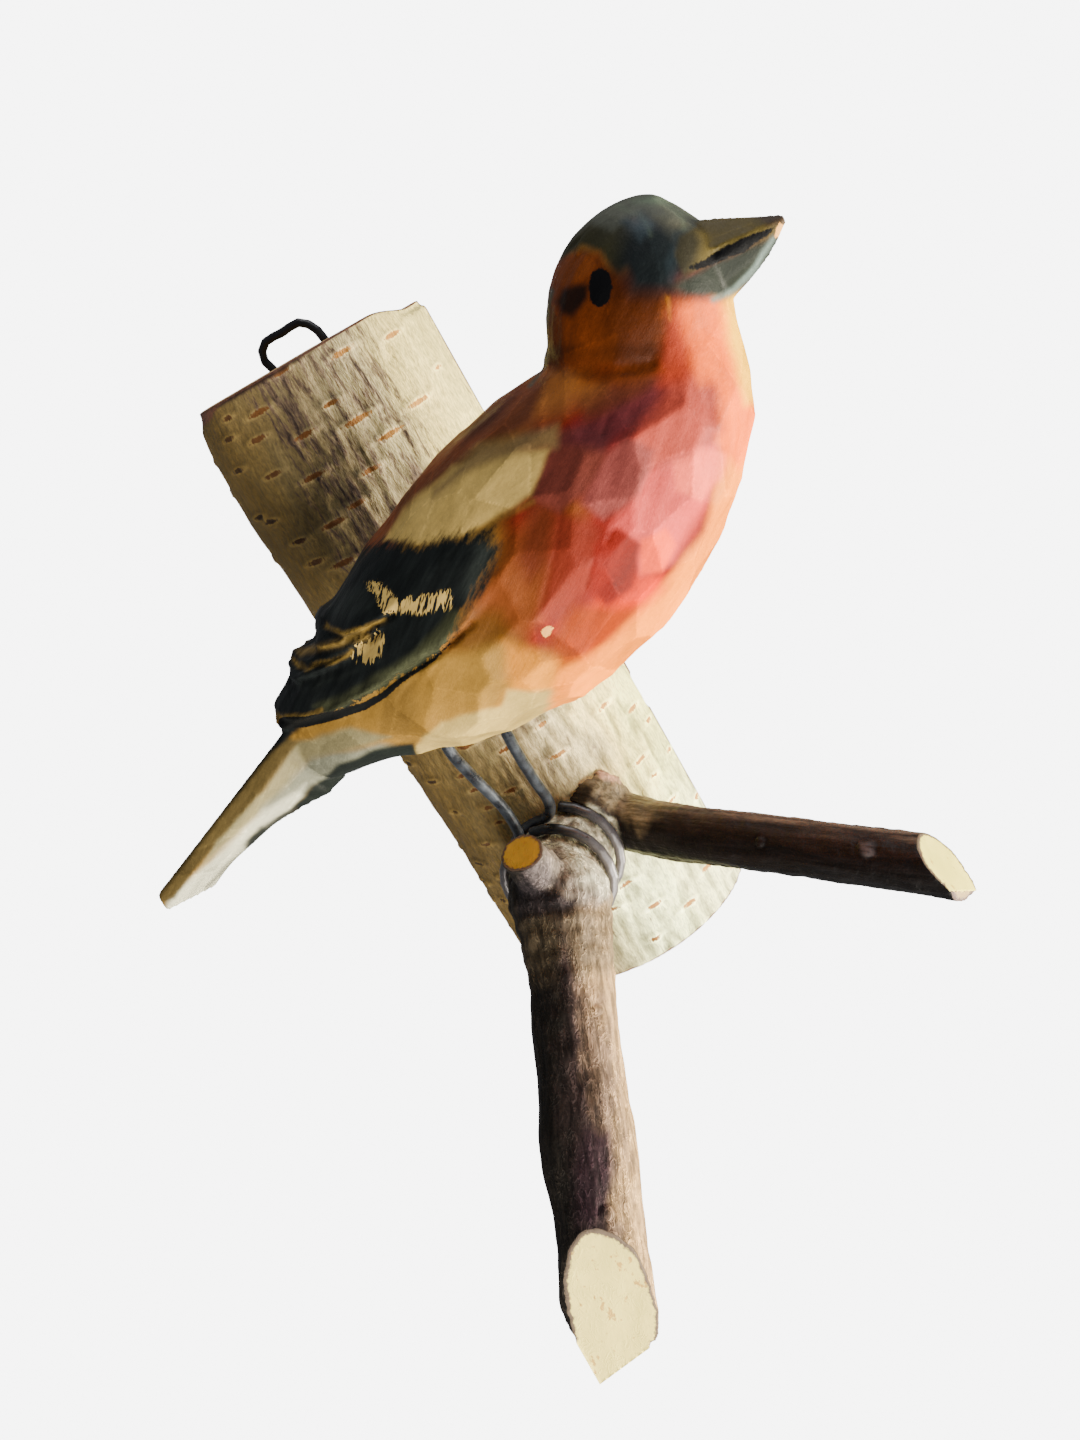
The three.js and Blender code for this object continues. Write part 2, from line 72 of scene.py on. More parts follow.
def ramp_up(values: np.ndarray, low: float, high: float) -> np.ndarray:
    """Smooth step from 0 at low to 1 at high."""
    part = np.clip((values - low) / (high - low), 0.0, 1.0)
    return part * part * (3.0 - 2.0 * part)


def linear(colour: tuple[int, int, int]) -> np.ndarray:
    """Turns a screen colour of 0 to 255 into the linear one that a shader works with."""
    part = np.array(colour, float) / 255.0
    return np.where(part <= 0.04045, part / 12.92, ((part + 0.055) / 1.055) ** 2.4)


def noise_field(
    points: np.ndarray, size: float, seed: float, stretch: Vector = Vector((1, 1, 1))
) -> np.ndarray:
    """Soft noise at many points.

    Args:
        points: places in millimetres, one a row.
        size: width of one blot in millimetres.
        seed: shifts the pattern.
        stretch: how many times longer a blot is along each axis.

    Returns:
        One value from about -1 to 1 for each point.
    """
    scaled = points / (size * np.array(stretch)) + seed
    return np.array([noise.noise(Vector(p)) for p in scaled])


def ladder(values: np.ndarray, steps: tuple[tuple[float, Enum], ...]) -> np.ndarray:
    """Blends colours along a value.

    Args:
        values: where on the ladder each point stands.
        steps: values in rising order, each with its colour.

    Returns:
        One linear colour for each point.
    """
    at = [step[0] for step in steps]
    colours = np.array([linear(step[1].value) for step in steps])
    return np.stack([np.interp(values, at, colours[:, axis]) for axis in range(3)], axis=1)


def unit(vector: tuple[float, float, float]) -> np.ndarray:
    """The same direction with length 1."""
    whole = np.array(vector, float)
    return whole / np.linalg.norm(whole)


def outline_distance(points: np.ndarray, outline: Line) -> np.ndarray:
    """Signed distance from points on a plane to a closed outline, negative inside.

    Args:
        points: places on the plane, one a row.
        outline: its corners in order.

    Returns:
        One distance for each point.
    """
    corners = np.array(outline, float)
    nearest = np.full(len(points), 1e9)
    inside = np.zeros(len(points), bool)
    for start, end in zip(corners, np.roll(corners, -1, axis=0)):
        span = end - start
        part = np.clip(((points - start) @ span) / (span @ span), 0.0, 1.0)
        nearest = np.minimum(nearest, np.linalg.norm(points - start - part[:, None] * span, axis=1))
        crosses = (start[1] > points[:, 1]) != (end[1] > points[:, 1])
        reach = start[0] + (points[:, 1] - start[1]) * span[0] / (span[1] if span[1] else 1e-9)
        inside ^= crosses & (points[:, 0] < reach)
    return np.where(inside, -nearest, nearest)


def stroke_distance(points: np.ndarray, line: Line, width: tuple[float, float]) -> np.ndarray:
    """Distance from points on a plane to the edge of a stroke that tapers along an open line.

    Args:
        points: places on the plane, one a row.
        line: places along the middle of the stroke.
        width: its width at the first and the last place.

    Returns:
        One distance for each point, negative in the stroke.
    """
    corners = np.array(line, float)
    lengths = np.linalg.norm(np.diff(corners, axis=0), axis=1)
    before = np.concatenate([[0.0], np.cumsum(lengths)])
    nearest = np.full(len(points), 1e9)
    for i, (start, end) in enumerate(zip(corners[:-1], corners[1:])):
        span = end - start
        part = np.clip(((points - start) @ span) / (span @ span), 0.0, 1.0)
        away = np.linalg.norm(points - start - part[:, None] * span, axis=1)
        along = (before[i] + part * lengths[i]) / before[-1]
        nearest = np.minimum(nearest, away - 0.5 * (width[0] + along * (width[1] - width[0])))
    return nearest


# The photograph's camera, which also serves as the painter's view of the bird


@dataclass(frozen=True)
class PhotoView:
    """The camera that took the photograph, found from the log's edges and the wire turns."""

    place: tuple[float, float, float] = (92.3, -195.0, 54.2)
    yaw: float = 24.9
    pitch: float = -17.8
    roll: float = -30.6
    focal: float = 1400.0
    frame: tuple[int, int] = (1080, 1440)
    sensor: float = 36.0

    def turn(self) -> Matrix:
        """Rotation of the camera in the world, in Blender's sense of a camera.

        Returns:
            A rotation of three rows.
        """
        level = Matrix.Rotation(math.radians(self.pitch + 90.0), 3, "X")
        spin = Matrix.Rotation(math.radians(self.roll), 3, "Z")
        return Matrix.Rotation(math.radians(self.yaw), 3, "Z") @ level @ spin

    def project(self, points: np.ndarray) -> np.ndarray:
        """Pixels of the photograph at which points in the world, in millimetres, are seen.

        Args:
            points: places, one a row.

        Returns:
            Place across and down for each point.
        """
        seen = (points - np.array(self.place)) @ np.array(self.turn())
        across = self.frame[0] / 2 - self.focal * seen[:, 0] / seen[:, 2]
        down = self.frame[1] / 2 + self.focal * seen[:, 1] / seen[:, 2]
        return np.stack([across, down], axis=1)

    def ray(self, pixel: tuple[float, float]) -> np.ndarray:
        """Direction in the world in which a pixel of the photograph looks.

        Args:
            pixel: place across and down in the photograph.

        Returns:
            A direction, not of length 1.
        """
        across = (pixel[0] - self.frame[0] / 2) / self.focal
        up = (self.frame[1] / 2 - pixel[1]) / self.focal
        return np.array(self.turn() @ Vector((across, up, -1.0)))

    def make(self) -> bpy.types.Object:
        """Puts the camera in the scene and makes it the one that renders.

        Returns:
            The camera.
        """
        data = bpy.data.cameras.new("photo_camera")
        data.sensor_width = self.sensor
        data.lens = self.focal / max(self.frame) * self.sensor
        data.clip_start = 0.01
        data.clip_end = 20.0
        camera = bpy.data.objects.new("photo_camera", data)
        camera.location = Vector(self.place) * MM
        camera.rotation_euler = self.turn().to_euler()
        bpy.context.scene.collection.objects.link(camera)
        bpy.context.scene.camera = camera
        return camera


# Fine meshes over the plain solids


@dataclass
class FineMesh:
    """A close copy of a solid of the frame, with vertices near enough together to carve.

    Attributes:
        node: name of the solid it stands for.
        name: name of the new piece.
        grain: distance between its vertices in millimetres.
        inward: share of the way to its neighbours that a vertex moves as the surface is evened out.
        outward: share that it moves back, so that the form keeps its size.
    """

    node: str
    name: str
    grain: float
    inward: float = 0.55
    outward: float = 0.56
    made: bpy.types.Object = field(init=False)
    points: np.ndarray = field(init=False)
    edges: np.ndarray = field(init=False)

    def build(self, solid: bpy.types.Object) -> "FineMesh":
        """Merges a copy of the solid and divides it evenly.

        Args:
            solid: the solid in the frame.

        Returns:
            This mesh, ready to carve.
        """
        sheet = bmesh.new()
        sheet.from_mesh(solid.data)
        bmesh.ops.remove_doubles(sheet, verts=sheet.verts, dist=1e-7)
        merged = bpy.data.meshes.new(self.name + "_merged")
        sheet.to_mesh(merged)
        sheet.free()
        rough = bpy.data.objects.new(self.name + "_rough", merged)
        bpy.context.scene.collection.objects.link(rough)
        divide = rough.modifiers.new("divide", "REMESH")
        divide.mode = "VOXEL"
        divide.voxel_size = self.grain * MM
        graph = bpy.context.evaluated_depsgraph_get()
        mesh = bpy.data.meshes.new_from_object(rough.evaluated_get(graph))
        mesh.name = self.name
        bpy.data.objects.remove(rough)
        bpy.data.meshes.remove(merged)
        self.made = bpy.data.objects.new(self.name, mesh)
        bpy.context.scene.collection.objects.link(self.made)
        self.read()
        return self

    def read(self) -> None:
        """Takes the places and edges of the mesh into arrays, in millimetres."""
        mesh = self.made.data
        flat = np.empty(len(mesh.vertices) * 3)
        mesh.vertices.foreach_get("co", flat)
        self.points = flat.reshape(-1, 3) / MM
        pairs = np.empty(len(mesh.edges) * 2, int)
        mesh.edges.foreach_get("vertices", pairs)
        self.edges = pairs.reshape(-1, 2)

    def write(self) -> None:
        """Puts the moved places back into the mesh."""
        mesh = self.made.data
        mesh.vertices.foreach_set("co", (self.points * MM).ravel())
        mesh.update()

    def normals(self) -> np.ndarray:
        """Outward directions at the vertices, for the places as they are now.

        Returns:
            One direction for each vertex.
        """
        self.write()
        flat = np.empty(len(self.points) * 3)
        self.made.data.vertex_normals.foreach_get("vector", flat)
        return flat.reshape(-1, 3)

    def spread(self, values: np.ndarray) -> np.ndarray:
        """Mean of the values at each vertex's neighbours.

        Args:
            values: one value or one row for each vertex.

        Returns:
            The means, in the same form.
        """
        count = len(self.points)
        first, second = self.edges[:, 0], self.edges[:, 1]
        both = np.concatenate([first, second])
        other = np.concatenate([second, first])
        share = np.maximum(np.bincount(both, minlength=count), 1)
        if values.ndim == 1:
            return np.bincount(both, values[other], minlength=count) / share
        sums = [np.bincount(both, values[other, axis], minlength=count) for axis in range(values.shape[1])]
        return np.stack(sums, axis=1) / share[:, None]

    def relax(self, rounds: int, amount: np.ndarray | float = 1.0) -> None:
        """Evens out the surface, and swells it back so that it doesn't shrink.

        Args:
            rounds: how many times.
            amount: share of the evening out at each vertex, from 0 to 1.
        """
        share = np.broadcast_to(np.asarray(amount, float), (len(self.points),))[:, None]
        for _ in range(rounds):
            self.points = self.points + self.inward * share * (self.spread(self.points) - self.points)
            self.points = self.points - self.outward * share * (self.spread(self.points) - self.points)

    def smooth(self, values: np.ndarray, rounds: int) -> np.ndarray:
        """Blurs values over the surface.

        Args:
            values: one value or one row for each vertex.
            rounds: how many times each vertex takes in its neighbours.

        Returns:
            The blurred values, in the same form.
        """
        for _ in range(rounds):
            values = 0.5 * values + 0.5 * self.spread(values)
        return values

    def push(self, amount: np.ndarray) -> None:
        """Moves every vertex out along its normal, in millimetres."""
        self.points = self.points + self.normals() * amount[:, None]

    def note(self, name: str, values: np.ndarray) -> None:
        """Keeps a value or a colour at each vertex, for the material.

        Args:
            name: name of the attribute.
            values: one value or one linear colour for each vertex.
        """
        colour = values.ndim == 2
        kept = self.made.data.attributes.new(name, "FLOAT_COLOR" if colour else "FLOAT", "POINT")
        if colour:
            whole = np.concatenate([values, np.ones((len(values), 1))], axis=1)
            kept.data.foreach_set("color", whole.ravel())
        else:
            kept.data.foreach_set("value", values.astype(np.float32))

    def finish(self, material: bpy.types.Material, slot: str) -> bpy.types.Object:
        """Writes the mesh, gives it its material, and lets it stand for its solid.

        Args:
            material: its finish.
            slot: the record's slot that the finish belongs to; not used.

        Returns:
            The finished piece.
        """
        self.write()
        mesh = self.made.data
        mesh.materials.clear()
        mesh.materials.append(material)
        mesh.polygons.foreach_set("use_smooth", np.ones(len(mesh.polygons), bool))
        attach(self.made, "root")
        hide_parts(self.node)
        LOG.info("%s: %d faces", self.name, len(mesh.polygons))
        return self.made


@dataclass
class KnifeCuts:
    """Flat cuts that a knife leaves on a round carved form, as tangent planes that meet in ridges.

    Attributes:
        spacing: distance between the middles of two cuts in millimetres.
        along: direction in which a cut is longer.
        longer: how many times longer.
        tilt: how far a cut may lean off the round form, in degrees.
        deepest: how far the cuts may move the surface, in millimetres.
        hollow: how fast a cut rises from its middle, per millimetre.
        seed: start of the random choice.
        nearest: how many cuts near a place are weighed against each other.
        blur: how many times the directions are blurred before the cuts lean off them.
    """

    spacing: float
    along: np.ndarray
    longer: float
    tilt: float
    deepest: float
    seed: int
    hollow: float = 0.04
    nearest: int = 7
    blur: int = 24

    def flatten(self, points: np.ndarray) -> np.ndarray:
        """Squeezes places along the cuts' direction, so that an even spread gives long cuts."""
        inward = points @ self.along
        return points - inward[:, None] * self.along * (1.0 - 1.0 / self.longer)

    def middles(self, points: np.ndarray) -> list[int]:
        """Chooses vertices that keep the spacing, in a seeded random order.

        Args:
            points: places of the vertices.

        Returns:
            Indices of the vertices in the middle of a cut.
        """
        flat = self.flatten(points)
        order = np.random.default_rng(self.seed).permutation(len(points))
        taken: dict[tuple[int, int, int], list[int]] = {}
        chosen = []
        for index in order:
            cell = tuple((flat[index] // self.spacing).astype(int))
            near = [
                other
                for dx in (-1, 0, 1)
                for dy in (-1, 0, 1)
                for dz in (-1, 0, 1)
                for other in taken.get((cell[0] + dx, cell[1] + dy, cell[2] + dz), ())
            ]
            if near and np.min(np.linalg.norm(flat[near] - flat[index], axis=1)) < self.spacing:
                continue
            taken.setdefault(cell, []).append(int(index))
            chosen.append(int(index))
        return chosen

    def carve(self, piece: FineMesh, strength: np.ndarray) -> tuple[np.ndarray, np.ndarray]:
        """Cuts facets into a mesh: each is a shallow leaning dish, and the lowest one at a place holds.

        Args:
            piece: the mesh to cut.
            strength: share of the cut at each vertex, from 0 to 1.

        Returns:
            A tone from -1 to 1 that is the same over each cut, for painted light and shade on the cut, and
            the distance to the nearest ridge.
        """
        points = piece.points
        normals = piece.normals()
        broad = piece.smooth(normals, self.blur)
        broad /= np.linalg.norm(broad, axis=1)[:, None]
        chosen = self.middles(points)
        random = np.random.default_rng(self.seed + 1)
        lean = random.normal(0.0, math.tan(math.radians(self.tilt)), (len(chosen), 3))
        lean -= np.einsum("kc,kc->k", lean, broad[chosen])[:, None] * broad[chosen]
        flat = self.flatten(points)
        tree = kdtree.KDTree(len(chosen))
        for place, index in enumerate(chosen):
            tree.insert(Vector(flat[index]), place)
        tree.balance()
        near = np.array([[hit[1] for hit in tree.find_n(Vector(p), self.nearest)] for p in flat])
        away = points[:, None, :] - points[chosen][near]
        reach = np.linalg.norm(flat[:, None, :] - flat[chosen][near], axis=2)
        height = self.hollow * reach**2 + np.einsum("vkc,vkc->vk", away, lean[near])
        order = np.argsort(height, axis=1)
        lowest = np.take_along_axis(height, order[:, :1], axis=1)[:, 0]
        second = np.take_along_axis(height, order[:, 1:2], axis=1)[:, 0]
        owner = np.take_along_axis(near, order[:, :1], axis=1)[:, 0]
        level = self.hollow * (0.45 * self.spacing) ** 2
        cut = np.clip(lowest - level, -self.deepest, self.deepest)
        piece.points = points + normals * (piece.smooth(cut, 1) * strength)[:, None]
        tones = random.uniform(-1.0, 1.0, len(chosen))
        return tones[owner], second - lowest


# Node boards for the finishes


@dataclass
class Board:
    """A material and the nodes that are laid out on it.

    Attributes:
        name: the material's name.
    """

    name: str
    material: bpy.types.Material = field(init=False)

    def __post_init__(self) -> None:
        """Starts with an empty material and its surface shader."""
        self.material = bpy.data.materials.new(self.name)
        self.material.use_nodes = True
        self.nodes = self.material.node_tree.nodes
        self.nodes.clear()
        self.shader = self.nodes.new("ShaderNodeBsdfPrincipled")
        output = self.nodes.new("ShaderNodeOutputMaterial")
        self.link(self.shader.outputs["BSDF"], output.inputs["Surface"])
        self.origin = self.nodes.new("ShaderNodeTexCoord").outputs["Object"]

    def link(self, source: bpy.types.NodeSocket, target: bpy.types.NodeSocket) -> None:
        """Joins two sockets."""
        self.material.node_tree.links.new(source, target)

    def feed(self, socket: bpy.types.NodeSocket, value: object) -> None:
        """Links a socket, or sets it where the value is a plain number or colour.

        Args:
            socket: the input.
            value: an output to link, a number, or a linear colour.
        """
        if isinstance(value, bpy.types.NodeSocket):
            self.link(value, socket)
        elif isinstance(value, np.ndarray):
            socket.default_value = (*value, 1.0)
        else:
            socket.default_value = value

    def attribute(self, name: str, colour: bool = False) -> bpy.types.NodeSocket:
        """A value or colour kept at the mesh's vertices.

        Args:
            name: name of the attribute.
            colour: whether it is a colour.

        Returns:
            The output that gives it.
        """
        node = self.nodes.new("ShaderNodeAttribute")
        node.attribute_name = name
        return node.outputs["Color" if colour else "Fac"]

    def place(self, stretch: tuple = (1, 1, 1), turn: tuple = (0, 0, 0), shift: tuple = (0, 0, 0)) -> object:
        """Object coordinates in millimetres, turned and then squeezed.

        Args:
            stretch: how many times longer the pattern is along each turned axis.
            turn: angles in degrees.
            shift: place of the pattern's middle in millimetres.

        Returns:
            The coordinates.
        """
        centre = self.nodes.new("ShaderNodeMapping")
        centre.vector_type = "POINT"
        centre.inputs["Location"].default_value = tuple(-s for s in shift)
        centre.inputs["Scale"].default_value = (1 / MM,) * 3
        self.link(self.origin, centre.inputs["Vector"])
        turned = self.nodes.new("ShaderNodeMapping")
        turned.vector_type = "POINT"
        turned.inputs["Rotation"].default_value = tuple(math.radians(a) for a in turn)
        self.link(centre.outputs["Vector"], turned.inputs["Vector"])
        squeezed = self.nodes.new("ShaderNodeMapping")
        squeezed.vector_type = "POINT"
        squeezed.inputs["Scale"].default_value = tuple(1 / s for s in stretch)
        self.link(turned.outputs["Vector"], squeezed.inputs["Vector"])
        return squeezed.outputs["Vector"]

    def noise(
        self, where: object, size: float, detail: float = 3, rough: float = 0.55, warp: float = 0
    ) -> object:
        """Noise whose blots are about as wide as size, in millimetres.

        Args:
            where: the coordinates.
            size: width of a blot.
            detail: how many finer layers it has.
            rough: how strong those are.
            warp: how far it is bent.

        Returns:
            A value of about 0 to 1.
        """
        node = self.nodes.new("ShaderNodeTexNoise")
        self.feed(node.inputs["Vector"], where)
        node.inputs["Scale"].default_value = 1 / size
        node.inputs["Detail"].default_value = detail
        node.inputs["Roughness"].default_value = rough
        node.inputs["Distortion"].default_value = warp
        return node.outputs["Fac"]

    def sum(self, how: str, first: object, second: object = 0.0) -> object:
        """One step of arithmetic.

        Args:
            how: name of the step.
            first: a number or an output.
            second: a number or an output.

        Returns:
            The result.
        """
        node = self.nodes.new("ShaderNodeMath")
        node.operation = how
        self.feed(node.inputs[0], first)
        self.feed(node.inputs[1], second)
        return node.outputs[0]

    def fit(
        self, value: object, low: float, high: float, to_low: float = 0.0, to_high: float = 1.0
    ) -> object:
        """Smooth, clamped change of range.

        Args:
            value: the number to change.
            low: where the old range starts.
            high: where it ends.
            to_low: where the new range starts.
            to_high: where it ends.

        Returns:
            The changed number.
        """
        node = self.nodes.new("ShaderNodeMapRange")
        node.interpolation_type = "SMOOTHSTEP"
        names = ("Value", "From Min", "From Max", "To Min", "To Max")
        for name, given in zip(names, (value, low, high, to_low, to_high)):
            self.feed(node.inputs[name], given)
        return node.outputs["Result"]

    def mix(self, factor: object, first: object, second: object, how: str = "MIX") -> object:
        """Mixes two colours.

        Args:
            factor: share of the second.
            first: a colour.
            second: a colour.
            how: way of mixing.

        Returns:
            The mixed colour.
        """
        node = self.nodes.new("ShaderNodeMix")
        node.data_type = "RGBA"
        node.blend_type = how
        self.feed(node.inputs[0], factor)
        self.feed(node.inputs[6], first)
        self.feed(node.inputs[7], second)
        return node.outputs[2]

    def tone(self, colour: object, factor: object) -> object:
        """Makes a colour lighter or darker by a factor.

        Args:
            colour: the colour.
            factor: the factor.

        Returns:
            The new colour.
        """
        node = self.nodes.new("ShaderNodeVectorMath")
        node.operation = "SCALE"
        self.feed(node.inputs[0], colour)
        self.feed(node.inputs["Scale"], factor)
        return node.outputs[0]

    def relief(self, height: object, depth: float) -> None:
        """Bumps the surface by a height of 0 to 1, over a depth in millimetres.

        Args:
            height: the height.
            depth: how far a height of 1 stands out.
        """
        node = self.nodes.new("ShaderNodeBump")
        node.inputs["Distance"].default_value = depth * MM
        node.inputs["Strength"].default_value = 1.0
        self.feed(node.inputs["Height"], height)
        self.link(node.outputs["Normal"], self.shader.inputs["Normal"])

    def surface(self, colour: object, rough: object, **constants: float) -> bpy.types.Material:
        """Finishes the material.

        Args:
            colour: its base colour.
            rough: its roughness.
            constants: other sockets of the shader that are the same all over.

        Returns:
            The material.
        """
        self.feed(self.shader.inputs["Base Color"], colour)
        self.feed(self.shader.inputs["Roughness"], rough)
        for name, value in constants.items():
            self.shader.inputs[name.replace("_", " ").title().replace("Ior", "IOR")].default_value = value
        return self.material


# The bird's paint


class Pigment(Enum):
    """The paints and bare woods on the bird, as sRGB colours under white light; a few of them also carry
    painted shade, and a few painted light, where they lie.
    """

    BARE_WOOD = (196, 140, 70)
    BUFF = (122, 91, 37)
    BUFF_WARM = (171, 106, 16)
    PALE = (150, 128, 72)
    OCHRE = (104, 78, 34)
    OCHRE_BROWN = (85, 53, 18)
    FLANK = (106, 53, 21)
    FLANK_PAINTED_SHADE = (76, 27, 15)
    RUST = (102, 33, 21)
    CORAL = (104, 22, 13)
    CORAL_LIGHT = (176, 37, 0)
    ORANGE = (118, 42, 0)
    PEACH_AND_PAINTED_LIGHT = (210, 112, 0)
    PEACH_BELLY = (206, 110, 3)
    THROAT_AND_PAINTED_LIGHT = (223, 170, 7)
    SALMON = (212, 86, 0)
    ROSE = (139, 54, 43)
    ROSE_MID = (173, 59, 54)
    ROSE_LIGHT = (211, 85, 64)
    MAUVE = (81, 34, 38)
    MAUVE_ROSE = (117, 55, 51)
    MAROON = (96, 44, 36)
    NECK_BROWN = (84, 40, 26)
    NECK_BAND = (44, 16, 2)
    NECK_RED = (130, 42, 22)
    SHOULDER_ORANGE = (146, 88, 40)
    CHEEK = (94, 42, 9)
    CHEEK_PAINTED_SHADE = (48, 18, 2)
    CHEEK_TOP = (97, 48, 17)
    EAR_BROWN = (24, 12, 7)
    CROWN_OLIVE = (39, 38, 22)
    CROWN = (67, 69, 60)
    CROWN_LIGHT = (85, 99, 80)
    SLATE = (14, 19, 21)
    SLATE_BLUE = (39, 51, 58)
    BILL_BROWN = (72, 62, 31)
    BILL_DARK = (54, 42, 36)
    BILL_BLUE = (27, 31, 26)
    BILL_PALE = (86, 100, 96)
    BACK_BROWN = (97, 52, 30)
    BACK_DARK = (43, 25, 24)
    SHOULDER = (187, 157, 89)
    SHOULDER_GREY = (120, 98, 62)
    WING_BLACK = (18, 21, 21)
    WING_BLUE = (34, 38, 36)
    RIM_OCHRE = (116, 92, 40)
    RIM_OLIVE = (50, 52, 36)
    TAIL_TAN = (77, 64, 35)
    TAIL_PINK = (108, 100, 71)
    TAIL_WHITE = (168, 166, 144)
    TAIL_GREY = (104, 104, 88)
    TAIL_DARK = (19, 23, 20)
    SALMON_RED = (206, 62, 20)
    INK = (6, 6, 8)
    UNDER_INK_AND_SHADOW = (16, 17, 17)


@dataclass(frozen=True)
class Patch:
    """A patch of paint, by its outline in the painter's view.

    Attributes:
        pigment: the paint.
        outline: corners in pixels of the photograph.
        soft: how far its edge fades, in pixels.
        cover: how well it covers.
    """

    pigment: Pigment
    outline: Line
    soft: float = 12.0
    cover: float = 1.0

    def lay(self, places: np.ndarray, colours: np.ndarray) -> np.ndarray:
        """Lays the patch over the colours so far.

        Args:
            places: places in the painter's view.
            colours: linear colours there.

        Returns:
            The new colours.
        """
        away = outline_distance(places, self.outline)
        share = self.cover * (1.0 - ramp_up(away, -0.5 * self.soft, 0.5 * self.soft))
        return colours + share[:, None] * (linear(self.pigment.value) - colours)


@dataclass(frozen=True)
class Sweep:
    """A sweep of the brush along a line in the painter's view.

    Attributes:
        pigment: the paint.
        line: places in pixels of the photograph.
        width: its width at both ends in pixels.
        soft: how far its edge fades, in pixels.
        cover: how well it covers.
    """

    pigment: Pigment
    line: Line
    width: tuple[float, float]
    soft: float = 8.0
    cover: float = 1.0

    def lay(self, places: np.ndarray, colours: np.ndarray) -> np.ndarray:
        """Lays the sweep over the colours so far.

        Args:
            places: places in the painter's view.
            colours: linear colours there.

        Returns:
            The new colours.
        """
        away = stroke_distance(places, self.line, self.width)
        share = self.cover * (1.0 - ramp_up(away, -0.5 * self.soft, 0.5 * self.soft))
        return colours + share[:, None] * (linear(self.pigment.value) - colours)


